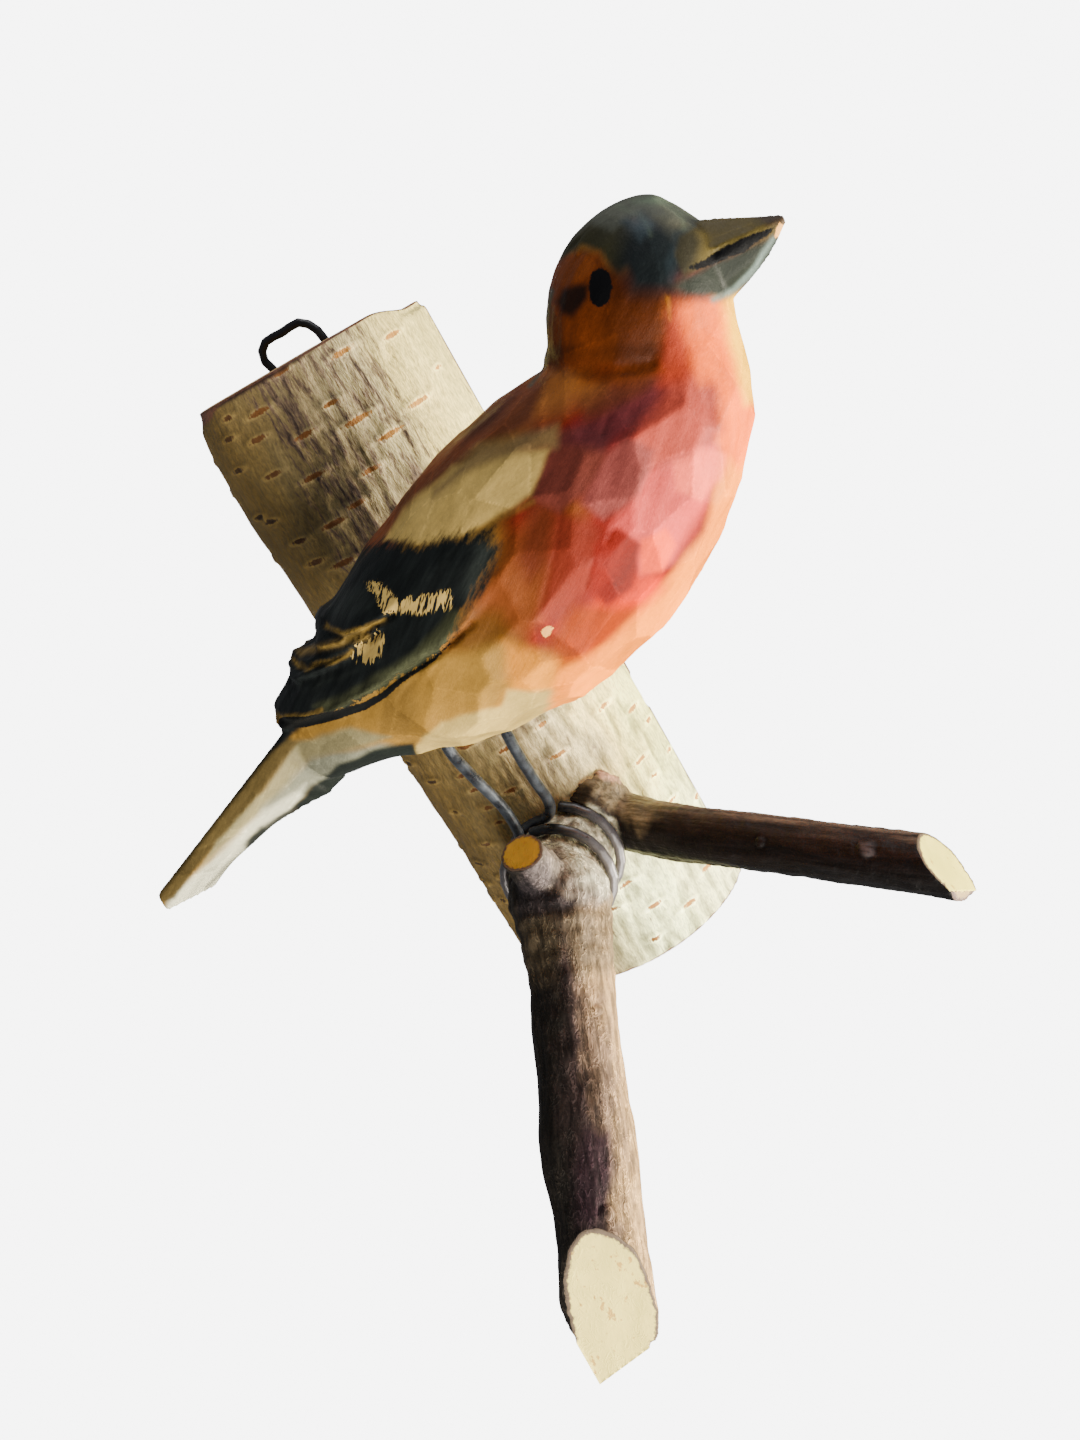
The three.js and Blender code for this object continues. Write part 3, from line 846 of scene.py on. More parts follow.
@dataclass(frozen=True)
class BirdPaint:
    """Where each paint lies on the bird, from the first coat to the last touch."""

    coats: tuple[Patch | Sweep, ...] = (
        Patch(
            Pigment.CORAL, ((540, 330), (640, 262), (760, 250), (790, 470), (720, 620), (620, 680),
            (520, 650), (500, 520)), 40,
        ),
        Patch(
            Pigment.FLANK, ((545, 495), (590, 500), (560, 600), (520, 640), (470, 632), (440, 655),
            (480, 580)), 30,
        ),
        # Painted shade on the breast's left side.
        Patch(Pigment.FLANK_PAINTED_SHADE, ((528, 490), (560, 500), (552, 560), (530, 585), (516, 560)), 24, 0.8),
        Patch(Pigment.OCHRE_BROWN, ((445, 660), (470, 612), (500, 612), (520, 645), (480, 660)), 26, 0.9),
        Patch(Pigment.BUFF_WARM, ((505, 645), (560, 655), (600, 672), (560, 700), (500, 705)), 24, 0.9),
        Patch(Pigment.BUFF, ((395, 690), (430, 655), (500, 648), (510, 690), (460, 715), (405, 740)), 22),
        Patch(Pigment.OCHRE, ((382, 690), (412, 680), (418, 706), (408, 738), (378, 735)), 14, 0.85),
        Patch(Pigment.OCHRE, ((487, 686), (510, 684), (505, 706), (488, 706)), 12, 0.6),
        Patch(
            Pigment.PALE, ((412, 752), (440, 722), (500, 708), (508, 692), (560, 688), (600, 660),
            (580, 730), (440, 790)), 7,
        ),
        Patch(
            Pigment.RUST, ((555, 505), (600, 530), (592, 580), (565, 625), (538, 615), (548, 560)), 18, 0.9,
        ),
        Patch(
            Pigment.CORAL_LIGHT, ((605, 590), (650, 570), (672, 590), (640, 640), (590, 665),
            (566, 645)), 20,
        ),
        Patch(Pigment.ORANGE, ((575, 606), (640, 606), (620, 650), (560, 672), (548, 640)), 20, 0.9),
        # Peach paint along the breast's right edge, with painted light on that lit edge.
        Patch(
            Pigment.PEACH_AND_PAINTED_LIGHT, ((768, 420), (722, 455), (705, 530), (662, 590), (600, 650), (560, 690),
            (660, 720), (790, 560)), 16,
        ),
        Patch(Pigment.PEACH_BELLY, ((560, 672), (600, 648), (640, 640), (600, 720), (545, 720)), 14, 0.9),
        Patch(
            Pigment.ROSE_MID, ((612, 530), (640, 480), (670, 450), (720, 440), (706, 500),
            (672, 560), (640, 575)), 14,
        ),
        Patch(Pigment.SALMON_RED, ((640, 540), (664, 528), (676, 545), (660, 572), (640, 574)), 8, 0.9),
        Patch(Pigment.CORAL, ((592, 545), (620, 528), (640, 545), (634, 588), (606, 606), (590, 590)), 8),
        Patch(
            Pigment.ROSE_LIGHT, ((672, 462), (700, 446), (728, 452), (722, 478), (700, 500),
            (676, 490)), 9, 0.75,
        ),
        Patch(Pigment.SALMON, ((712, 300), (760, 300), (775, 440), (738, 470), (716, 440), (712, 370)), 16),
        # Throat paint on its right edge, with painted light on that lit edge.
        Patch(Pigment.THROAT_AND_PAINTED_LIGHT, ((712, 292), (760, 288), (770, 404), (746, 404), (728, 340)), 18, 0.9),
        Patch(
            Pigment.ROSE, ((655, 390), (690, 372), (716, 385), (722, 430), (690, 455), (650, 470),
            (630, 440)), 20,
        ),
        Patch(
            Pigment.MAUVE_ROSE, ((585, 470), (625, 435), (655, 450), (640, 495), (605, 520),
            (582, 505)), 12,
        ),
        Patch(
            Pigment.MAROON, ((533, 462), (560, 430), (610, 425), (605, 455), (585, 495),
            (560, 512), (534, 497)), 12,
        ),
        Patch(
            Pigment.MAUVE, ((560, 440), (600, 408), (650, 375), (668, 392), (640, 425), (600, 450)), 20, 0.9,
        ),
        Patch(Pigment.SALMON, ((676, 300), (722, 296), (728, 375), (702, 382), (680, 350)), 24, 0.9),
        Patch(
            Pigment.NECK_RED, ((655, 318), (682, 322), (694, 350), (686, 382), (662, 385),
            (652, 350)), 28,
        ),
        Patch(Pigment.NECK_BROWN, ((575, 385), (640, 366), (660, 380), (620, 405), (585, 420)), 18),
        Patch(
            Pigment.SHOULDER_ORANGE, ((520, 385), (548, 366), (590, 366), (600, 388), (566, 412),
            (528, 424)), 34,
        ),
        Patch(Pigment.CHEEK, ((570, 362), (656, 358), (662, 372), (620, 386), (580, 384)), 18, 0.8),
        Patch(
            Pigment.BACK_BROWN, ((545, 378), (500, 384), (440, 430), (376, 510), (340, 585),
            (392, 560), (430, 490), (480, 447), (530, 425)), 14,
        ),
        Patch(Pigment.BACK_DARK, ((520, 392), (500, 418), (462, 446), (470, 425)), 14, 0.7),
        Patch(
            Pigment.SHOULDER, ((430, 487), (453, 466), (493, 452), (548, 448), (543, 462),
            (533, 493), (507, 509), (467, 536), (420, 544), (386, 542), (403, 510)), 8,
        ),
        Patch(
            Pigment.SHOULDER_GREY, ((430, 490), (480, 446), (560, 424), (556, 446), (505, 458),
            (462, 476), (432, 500)), 14, 0.9,
        ),
        Sweep(Pigment.OCHRE, ((534, 500), (500, 516), (478, 534)), (4, 7), 8, 0.7),
        Patch(
            Pigment.CHEEK, ((540, 250), (600, 250), (625, 285), (668, 292), (666, 330), (655, 372),
            (612, 366), (540, 364)), 18,
        ),
        Patch(Pigment.CHEEK_TOP, ((556, 262), (580, 250), (598, 262), (586, 276), (560, 290)), 10, 0.8),
        # Painted shade on the cheek.
        Patch(
            Pigment.CHEEK_PAINTED_SHADE, ((612, 288), (668, 292), (664, 362), (628, 366), (600, 350),
            (598, 320)), 34, 0.75,
        ),
        Patch(Pigment.NECK_BAND, ((545, 345), (660, 345), (655, 368), (545, 366)), 14, 0.6),
        Patch(
            Pigment.EAR_BROWN, ((588, 284), (588, 298), (581, 308), (572, 317), (561, 313),
            (556, 301), (562, 290), (575, 284)), 9, 0.97,
        ),
        Sweep(Pigment.CROWN, ((551, 290), (545, 330), (546, 362), (530, 386)), (5, 3), 5, 0.9),
        Patch(
            Pigment.CROWN_OLIVE, ((535, 300), (556, 262), (580, 246), (600, 252), (620, 275),
            (640, 240), (620, 200), (560, 200)), 8,
        ),
        Patch(
            Pigment.CROWN, ((560, 240), (590, 222), (612, 232), (640, 215), (700, 222), (720, 210),
            (690, 175), (600, 175), (540, 230)), 12,
        ),
        Patch(
            Pigment.CROWN_LIGHT, ((634, 202), (672, 190), (706, 204), (722, 222), (692, 228),
            (672, 208)), 14, 0.85,
        ),
        Patch(Pigment.CROWN, ((632, 204), (690, 203), (718, 218), (704, 244), (644, 242)), 12, 0.95),
        # Painted shade round the eye.
        Patch(Pigment.CHEEK_PAINTED_SHADE, ((598, 262), (640, 276), (696, 280), (684, 306), (608, 300)), 20, 0.8),
        Patch(
            Pigment.SLATE, ((626, 224), (644, 214), (664, 220), (682, 240), (684, 262), (674, 294),
            (632, 292), (616, 262)), 26,
        ),
        Patch(Pigment.SLATE_BLUE, ((622, 222), (640, 212), (652, 224), (640, 240)), 14, 0.8),
        Patch(Pigment.SLATE_BLUE, ((676, 232), (690, 226), (684, 262), (672, 282), (668, 262)), 12, 0.7),
        Sweep(Pigment.CROWN_LIGHT, ((618, 205), (640, 215), (650, 235)), (5, 2), 8, 0.2),
        Sweep(Pigment.CROWN_LIGHT, ((668, 200), (682, 215), (684, 228)), (7, 3), 8, 0.3),
        Patch(
            Pigment.BILL_BROWN, ((680, 236), (706, 219), (770, 212), (792, 208), (778, 232),
            (734, 252), (704, 268), (684, 276), (674, 254)), 6,
        ),
        Patch(
            Pigment.SLATE, ((670, 230), (696, 224), (704, 240), (698, 262), (684, 284), (668, 274)), 20, 0.8,
        ),
        Patch(Pigment.BILL_DARK, ((755, 214), (790, 208), (790, 226), (768, 226)), 12, 0.85),
        Patch(
            Pigment.BILL_BLUE, ((672, 286), (692, 272), (722, 256), (772, 234), (796, 230),
            (764, 274), (742, 292), (718, 300), (684, 298)), 15,
        ),
        Sweep(Pigment.BILL_PALE, ((772, 240), (757, 268), (735, 290), (712, 301)), (4, 6), 7, 0.9),
        Sweep(Pigment.BUFF_WARM, ((666, 298), (668, 310), (670, 320)), (3, 2), 6, 0.35),
        Patch(
            Pigment.TAIL_PINK, ((295, 742), (350, 728), (390, 738), (310, 760), (275, 800),
            (233, 840), (200, 868), (217, 838), (262, 790)), 8,
        ),
        Patch(
            Pigment.TAIL_GREY, ((311, 758), (380, 744), (410, 752), (318, 785), (275, 820),
            (250, 838), (262, 808)), 9,
        ),
        Patch(
            Pigment.TAIL_WHITE, ((306, 784), (262, 812), (210, 862), (166, 900), (165, 914),
            (210, 904), (244, 862), (290, 815)), 8,
        ),
        Patch(
            Pigment.TAIL_TAN, ((284, 736), (300, 742), (262, 792), (220, 838), (174, 899),
            (158, 905), (150, 880), (216, 818), (258, 764)), 5,
        ),
        Patch(
            Pigment.TAIL_DARK, ((296, 802), (314, 784), (340, 764), (372, 750), (415, 742),
            (420, 764), (350, 800), (300, 830)), 7,
        ),
        Sweep(
            Pigment.TAIL_DARK, ((334, 788), (306, 803), (285, 816), (265, 832), (248, 848)),
            (14, 8), 5, 0.95,
        ),
        Sweep(Pigment.TAIL_DARK, ((262, 832), (235, 860), (207, 888)), (8, 3), 6, 0.7),
        Sweep(Pigment.WING_BLACK, ((292, 722), (262, 750), (235, 785), (200, 829), (160, 884)), (20, 7), 6),
    )
    plumage: tuple[Patch | Sweep, ...] = (
        Patch(Pigment.WING_BLUE, ((478, 540), (505, 548), (494, 590), (466, 612), (462, 585)), 18, 0.9),
        Patch(Pigment.WING_BLUE, ((345, 590), (372, 585), (368, 610), (335, 622), (326, 612)), 16, 0.7),
        Patch(
            Pigment.RIM_OLIVE, ((315, 706), (350, 690), (388, 668), (420, 645), (452, 612),
            (470, 612), (440, 652), (383, 690), (330, 712)), 9,
        ),
        Sweep(Pigment.RIM_OCHRE, ((326, 625), (342, 633), (365, 629), (384, 619)), (4, 3), 4),
        Sweep(Pigment.RIM_OCHRE, ((300, 652), (318, 648), (340, 642), (366, 636)), (6, 9), 9, 0.6),
        Sweep(Pigment.RIM_OCHRE, ((295, 660), (306, 668), (330, 662), (352, 652)), (4, 3), 4, 0.9),
        Sweep(Pigment.RIM_OCHRE, ((268, 708), (280, 717), (304, 716), (323, 710)), (4, 3), 4, 0.9),
        Sweep(Pigment.WING_BLUE, ((300, 690), (340, 676), (380, 660)), (6, 3), 8, 0.5),
    )
    wing: Line = (
        (250, 700), (275, 716), (292, 722), (332, 714), (372, 695), (402, 676), (436, 656),
        (454, 634), (466, 611), (486, 584), (500, 553), (492, 529), (469, 536), (442, 535),
        (419, 544), (388, 540), (350, 545), (300, 600),
    )
    eye: Line = (
        (600, 267), (609, 272), (613, 288), (609, 302), (600, 308), (591, 303), (588, 288),
        (591, 273),
    )
    gape: Line = (
        (686, 268), (705, 259), (722, 248), (742, 238), (758, 232), (776, 226), (770, 234),
        (756, 243), (744, 252), (728, 258), (710, 266), (696, 270),
    )
    smoky_edge: Line = ((360, 545), (388, 540), (442, 535), (492, 529), (500, 553), (486, 590), (470, 612))
    # Dark paint under the wing's lower edge, with a painted shadow there.
    under_wing_ink_and_shadow: Line = (
        (284, 723), (305, 722), (337, 715), (365, 706), (384, 695), (400, 681), (433, 660),
        (452, 642),
    )
    stroke_row: Line = (
        (361, 580), (378, 578), (388, 584), (397, 595), (420, 592), (440, 588), (455, 586),
        (454, 612), (436, 615), (420, 618), (380, 617), (374, 600), (366, 592),
    )
    stroke_patch: Line = (
        (354, 645), (368, 636), (381, 627), (384, 645), (384, 661), (374, 663), (360, 668),
        (353, 656),
    )
    bare_chips: tuple[Line, ...] = (
        ((779, 222), (786, 226), (783, 236), (774, 238), (776, 228)),
        ((541, 631), (546, 626), (554, 626), (551, 633), (545, 638)),
    )


@dataclass
class CarvedBird:
    """The carved and painted bird.

    Attributes:
        middle: the origin of the bird's own frame, in the part's frame.
        lean: how far it leans, in degrees about the x axis.
        trunk_pitch: slope of its back in degrees.
        grain: distance between vertices.
        view: the painter's view.
        paint: where its paints lie.
        mirror_soft: width of the soft change between the two mirrored sides, in millimetres.
        pixel: size of a pixel of the photograph on the bird, in millimetres.
        rounds: how many times the solid is evened out before it is cut.
        wing_edges: edges of the wing's layers.
        neck_edge: the edge under the head's paint.
        tail_swells: where the tail's underside is fuller, as pixels with a width and a height in millimetres.
        feather_tips: where the tips of the wing's layers stand out or fall back, in the same form.
        nicks: short cuts of the knife's point.
    """

    middle: tuple[float, float, float] = (20.0, -38.0, 18.0)
    lean: float = -7.0
    trunk_pitch: float = 35.0
    grain: float = 0.36
    view: PhotoView = PhotoView()
    paint: BirdPaint = BirdPaint()
    mirror_soft: float = 0.6
    pixel: float = 0.125
    rounds: int = 26
    wing_edges: tuple[Line, ...] = (
        ((268, 703), (280, 718), (292, 721), (330, 712), (370, 690), (400, 672), (436, 651), (470, 620)),
        ((291, 652), (297, 664), (320, 660), (345, 650), (375, 630)),
        ((322, 620), (328, 631), (345, 635), (360, 631), (375, 621), (390, 611)),
    )
    neck_edge: Line = ((543, 360), (575, 361), (610, 362), (648, 357))
    tail_swells: tuple[tuple[int, int, float, float], ...] = (
        (322, 784, 26.0, 2.8), (292, 804, 26.0, 1.8), (266, 826, 26.0, 0.8), (248, 846, 24.0, 0.5),
    )
    feather_tips: tuple[tuple[int, int, float, float], ...] = (
        (321, 610, 10.0, 0.6), (308, 637, 8.0, -0.7), (291, 652, 9.0, 0.7), (274, 680, 9.0, -0.6),
        (263, 700, 9.0, 0.7),
    )
    nicks: tuple[Line, ...] = (
        ((561, 507), (556, 550), (541, 607)),
        ((657, 462), (642, 492)),
        ((613, 530), (607, 542)),
        ((594, 560), (585, 590)),
        ((608, 415), (601, 436)),
        ((420, 672), (398, 700)),
        ((440, 664), (425, 684)),
    )

    def local(self, points: np.ndarray) -> np.ndarray:
        """Takes places to the bird's own frame: x to the bill, z up, mirror plane y = 0."""
        back = np.array(Matrix.Rotation(math.radians(-self.lean), 3, "X"))
        return (points - np.array(self.middle)) @ back.T

    def painter(self, local: np.ndarray) -> np.ndarray:
        """Places of both sides in the painter's view, as if each were the near side.

        Args:
            local: places in the bird's own frame.

        Returns:
            Pixels of the photograph.
        """
        near = local.copy()
        near[:, 1] = -np.sqrt(local[:, 1] ** 2 + self.mirror_soft**2)
        forth = np.array(Matrix.Rotation(math.radians(self.lean), 3, "X"))
        return self.view.project(near @ forth.T + np.array(self.middle))

    def feathers(self, piece: FineMesh, places: np.ndarray) -> None:
        """Deepens the edges of the wing's layers and cuts a few nicks.

        Args:
            piece: the mesh.
            places: its places in the painter's view.
        """
        depth = np.zeros(len(places))
        for edge in self.wing_edges:
            below = tuple((u + 1.5, v + 4.0) for u, v in edge)
            depth -= 0.42 * (1.0 - ramp_up(stroke_distance(places, below, (3.0, 2.0)), 0.0, 4.0))
            depth += 0.14 * (1.0 - ramp_up(stroke_distance(places, edge, (2.0, 1.0)), 0.0, 4.0))
        under_neck = tuple((u, v + 6.0) for u, v in self.neck_edge)
        depth -= 0.30 * (1.0 - ramp_up(stroke_distance(places, under_neck, (6.0, 4.0)), 0.0, 10.0))
        depth += 0.10 * (1.0 - ramp_up(stroke_distance(places, self.neck_edge, (2.0, 1.0)), 0.0, 4.0))
        for nick in self.nicks:
            depth -= 0.12 * (1.0 - ramp_up(stroke_distance(places, nick, (0.3, 0.8)), 0.0, 2.6))
        piece.push(depth)

    def swell(
        self, piece: FineMesh, places: np.ndarray, spots: tuple, side: tuple[float, float, float]
    ) -> None:
        """Raises or lowers round spots of one side of the bird.

        Args:
            piece: the mesh.
            places: its places in the painter's view.
            spots: middles in pixels, with a width in pixels and a height in millimetres.
            side: direction in the bird's own frame that the side faces.
        """
        facing = unit(side) @ np.array(Matrix.Rotation(math.radians(self.lean), 3, "X")).T
        share = np.clip(piece.normals() @ facing, 0.0, 1.0)
        rise = np.zeros(len(places))
        for across, under, size, height in spots:
            away = np.linalg.norm(places - np.array((across, under)), axis=1)
            rise += height * np.exp(-((away / size) ** 2))
        piece.push(rise * share)

    def facet_strength(self, local: np.ndarray, places: np.ndarray) -> np.ndarray:
        """Share of the knife's facets: strong on the breast, faint on head, wings, tail and bill.

        Args:
            local: places in the bird's own frame.
            places: the same in the painter's view.

        Returns:
            A share from 0 to 1 for each place.
        """
        body = ramp_up(local[:, 0], -24.0, -14.0) * (1.0 - ramp_up(local[:, 0], 41.0, 44.0))
        head = ramp_up(local[:, 2] + 0.3 * local[:, 0], 19.0, 27.0)
        back = ramp_up(local[:, 2] - 0.75 * local[:, 0], -6.0, 4.0)
        wings = 1.0 - ramp_up(outline_distance(places, self.paint.wing), -6.0, 10.0)
        return body * (1.0 - 0.8 * head) * (1.0 - 0.7 * back) * (1.0 - 0.85 * wings)

    def mask(self, places: np.ndarray, outline: Line) -> np.ndarray:
        """Signed distance to an outline, in millimetres on the bird."""
        return outline_distance(places, outline) * self.pixel

    def build(self, solid: bpy.types.Object) -> bpy.types.Object:
        """Carves and paints the bird over its plain solid.

        Args:
            solid: the bird's solid in the frame.

        Returns:
            The finished piece.
        """
        piece = FineMesh("carved_bird", "bird_carving", self.grain).build(solid)
        local = self.local(piece.points)
        places = self.painter(local)
        from_edges = [np.abs(stroke_distance(places, edge, (0, 0))) for edge in self.wing_edges]
        near_edge = np.min(from_edges, axis=0)
        tail_or_bill = np.maximum(1.0 - ramp_up(local[:, 0], -30.0, -26.0), ramp_up(local[:, 0], 42.0, 44.0))
        free = np.minimum(0.25 + 0.75 * ramp_up(near_edge, 4.0, 12.0), 1.0 - 0.85 * tail_or_bill)
        piece.relax(self.rounds, free)
        slope = math.radians(self.trunk_pitch)
        axis = np.array((math.cos(slope), 0.0, math.sin(slope)))
        cuts = KnifeCuts(spacing=4.4, along=axis, longer=1.35, tilt=4.6, deepest=0.42, seed=11, hollow=0.042)
        tone, ridge = cuts.carve(piece, self.facet_strength(local, places))
        fine = KnifeCuts(spacing=2.6, along=axis, longer=2.4, tilt=2.2, deepest=0.16, seed=5, hollow=0.03)
        fine.carve(piece, 0.7 * (1.0 - self.facet_strength(local, places)) * (1.0 - tail_or_bill))
        self.feathers(piece, places)
        self.swell(piece, places, self.tail_swells, (0.55, 0.0, -0.83))
        self.swell(piece, places, self.feather_tips, (-0.8, 0.0, 0.6))
        self.dress(piece, local, self.painter(self.local(piece.points)), tone, ridge)
        return piece.finish(self.finish(), "painted_wood")

    def dress(
        self, piece: FineMesh, local: np.ndarray, places: np.ndarray, tone: np.ndarray, ridge: np.ndarray
    ) -> None:
        """Keeps the paints and the edges between them at the vertices.

        Args:
            piece: the mesh.
            local: its places in the bird's own frame.
            places: the same in the painter's view.
            tone: painted light and shade of the knife cut at each place.
            ridge: distance to the nearest ridge.
        """
        wobble = np.stack([noise_field(local, 3.0, 4.0), noise_field(local, 3.0, 41.0)], axis=1)
        brushed = places + 3.0 * wobble
        colours = np.tile(linear(Pigment.BUFF.value), (len(places), 1))
        for coat in self.paint.coats:
            colours = coat.lay(brushed, colours)
        feathers = np.tile(linear(Pigment.WING_BLACK.value), (len(places), 1))
        for coat in self.paint.plumage:
            feathers = coat.lay(brushed, feathers)
        piece.note("paint", colours)
        piece.note("plumage", feathers)
        above = self.mask(places, self.paint.wing)
        piece.note("wing", above)
        piece.note("ink", np.minimum(self.mask(places, self.paint.eye), self.mask(places, self.paint.gape)))
        piece.note("under_wing_ink_and_shadow", stroke_distance(places, self.paint.under_wing_ink_and_shadow, (12.0, 2.0)) * self.pixel)
        smoky = np.abs(stroke_distance(places, self.paint.smoky_edge, (0.0, 0.0)))
        piece.note("smoky", 1.0 - ramp_up(smoky, 8.0, 40.0))
        piece.note("solid", (self.mask(places, self.paint.stroke_patch) < 1.0).astype(float))
        stroke_row = self.mask(places, self.paint.stroke_row)
        piece.note("strokes", np.minimum(stroke_row, self.mask(places, self.paint.stroke_patch)))
        piece.note("bare", np.min([self.mask(places, chip) for chip in self.paint.bare_chips], axis=0))
        piece.note("facet_painted_light", tone)
        piece.note("ridge", ridge)

    def finish(self) -> bpy.types.Material:
        """Thin brushed paint over knife-cut wood, with painted light and shade on each knife cut and a
        painted highlight along the ridges between cuts.

        Returns:
            The material.
        """
        board = Board("brushed_paint")
        slope = (0, self.trunk_pitch, 0)
        long_hair = board.noise(board.place((7, 1, 1), slope), 0.9, 4, 0.65)
        brush = board.noise(board.place((5, 1, 1), slope), 2.2, 3, 0.6)
        speck = board.noise(board.place(), 0.55, 3, 0.7)
        blots = board.noise(board.place((2, 1, 1), slope, (9, 4, 2)), 5.0, 2, 0.5)
        paint = board.attribute("paint", colour=True)
        shade = board.fit(brush, 0.25, 0.75, -0.12, 0.12)
        shade = board.sum("ADD", shade, board.fit(blots, 0.3, 0.7, 0.92, 1.08))
        # Painted light and shade: each knife cut is made lighter or darker as a whole.
        shade = board.sum("ADD", shade, board.sum("MULTIPLY", board.attribute("facet_painted_light"), 0.19))
        shade = board.sum("ADD", shade, board.fit(speck, 0.3, 0.8, -0.09, 0.09))
        # Painted highlight along the ridges between knife cuts.
        ridge = board.fit(board.attribute("ridge"), 0.0, 0.09, 0.30, 0.0)
        shade = board.sum("ADD", shade, board.sum("MULTIPLY", ridge, board.fit(speck, 0.35, 0.6)))
        coat = board.tone(paint, shade)

        ragged = board.sum("SUBTRACT", board.noise(board.place((3, 1, 1), (0, 50, 0)), 1.1, 4, 0.75), 0.5)
        wing_edge = board.sum("ADD", board.attribute("wing"), board.sum("MULTIPLY", ragged, 3.4))
        plumage = board.attribute("plumage", colour=True)
        feathers = board.tone(plumage, board.fit(long_hair, 0.25, 0.75, 0.6, 1.5))
        dust = board.fit(long_hair, 0.62, 0.75, 0.0, 0.35)
        feathers = board.mix(dust, feathers, linear(Pigment.WING_BLUE.value))
        smoke = board.attribute("smoky")
        hairy = board.sum("MULTIPLY", board.sum("SUBTRACT", long_hair, 0.5), smoke)
        wing_edge = board.sum("ADD", wing_edge, board.sum("MULTIPLY", hairy, 4.0))
        inner = board.sum("SUBTRACT", -0.18, smoke)
        outer = board.sum("ADD", 0.18, board.sum("MULTIPLY", smoke, 0.6))
        coat = board.mix(board.fit(wing_edge, inner, outer, 1.0, 0.0), coat, feathers)

        comb = board.noise(board.place((7, 1.2, 1.0), (0, 52, 0)), 0.50, 2, 0.6)
        hairs = board.sum("MULTIPLY", board.sum("SUBTRACT", 0.56, comb), 4.6)
        cream = board.sum("ADD", board.attribute("strokes"), board.sum("ADD", hairs, 0.22))
        teeth = board.sum("MAXIMUM", board.fit(comb, 0.60, 0.54), board.attribute("solid"))
        cream = board.sum("MULTIPLY", board.fit(cream, -0.10, 0.10, 1.0, 0.0), teeth)
        coat = board.mix(cream, coat, linear(Pigment.SHOULDER.value))

        rough_edge = board.sum("MULTIPLY", board.sum("SUBTRACT", speck, 0.5), 0.7)
        # Dark paint and a painted shadow under the wing's lower edge.
        below = board.sum("ADD", board.attribute("under_wing_ink_and_shadow"), board.sum("MULTIPLY", rough_edge, 0.4))
        coat = board.mix(board.fit(below, -0.07, 0.07, 1.0, 0.0), coat, linear(Pigment.UNDER_INK_AND_SHADOW.value))
        ink = board.sum("ADD", board.attribute("ink"), rough_edge)
        coat = board.mix(board.fit(ink, -0.16, 0.12, 1.0, 0.0), coat, linear(Pigment.INK.value))
        bare = board.sum("ADD", board.attribute("bare"), rough_edge)
        coat = board.mix(board.fit(bare, -0.08, 0.08, 1.0, 0.0), coat, linear(Pigment.BARE_WOOD.value))

        height = board.sum("ADD", board.sum("MULTIPLY", long_hair, 0.7), board.sum("MULTIPLY", speck, 0.5))
        board.relief(height, 0.10)
        rough = board.fit(brush, 0.2, 0.8, 0.42, 0.6)
        return board.surface(coat, rough, specular_ior_level=0.08)


# The forked twig


def aim(direction: np.ndarray) -> tuple[float, float, float]:
    """Angles in degrees that turn a direction on to the x axis, for a pattern that runs along it."""
    euler = Vector(direction).rotation_difference(Vector((1, 0, 0))).to_euler()
    return tuple(math.degrees(a) for a in euler)


class BarkTone(Enum):
    """Barks and bare woods of the twig, as sRGB colours under white light; the shade, tan and right twig
    colours also carry painted shade and painted light across the twig, and one grey a painted sheen.
    """

    SHADE = (26, 22, 18)
    PLUM_BROWN = (48, 37, 35)
    TAN_SHADE = (104, 84, 66)
    TAN_LIT = (152, 123, 84)
    TAN_DARK = (86, 74, 57)
    PLUM = (44, 30, 34)
    NODE_GREY = (108, 98, 88)
    WRINKLE = (30, 25, 27)
    OLIVE_BROWN = (62, 53, 40)
    RIGHT_BLACK = (9, 7, 7)
    RIGHT_DARK = (17, 11, 10)
    RIGHT_UPPER = (33, 21, 16)
    RIGHT_TOP = (98, 81, 66)
    SCAR_GREY_AND_SHEEN = (70, 62, 62)
    KNOB = (100, 86, 64)
    KNOB_DARK = (36, 28, 20)
    KNOB_RED = (162, 122, 98)
    NECK_PALE = (185, 180, 155)
    NECK_DARK = (100, 88, 74)
    CREAM_CUT = (255, 234, 134)
    CREAM_SLIVER = (255, 240, 120)
    GREY_CUT = (158, 132, 86)
    STUB_CUT = (212, 167, 61)
    FLECK = (186, 128, 60)
    RIM = (96, 80, 76)


@dataclass(frozen=True)
class Limb:
    """A straight stretch of the twig: its axis in the part's frame, and its radius."""

    start: tuple[float, float, float]
    end: tuple[float, float, float]
    radius: float

    def direction(self) -> np.ndarray:
        """The way the limb points."""
        return unit(tuple(np.array(self.end) - np.array(self.start)))

    def away(self, points: np.ndarray) -> np.ndarray:
        """Distance from points to the limb's axis, in millimetres.

        Args:
            points: places in the part's frame.

        Returns:
            One distance for each point.
        """
        start = np.array(self.start)
        span = np.array(self.end) - start
        part = np.clip(((points - start) @ span) / (span @ span), 0.0, 1.0)
        return np.linalg.norm(points - start - part[:, None] * span, axis=1)

    def own(self, points: np.ndarray, view: PhotoView) -> np.ndarray:
        """Places in the limb's own frame, in millimetres.

        Args:
            points: places in the part's frame.
            view: the camera, which settles the second axis.

        Returns:
            Place along the limb, across it as the camera sees it, and toward the camera.
        """
        start, along = np.array(self.start), self.direction()
        across = unit(tuple(np.cross(along, start - np.array(view.place))))
        return (points - start) @ np.stack([along, across, np.cross(along, across)], axis=1)


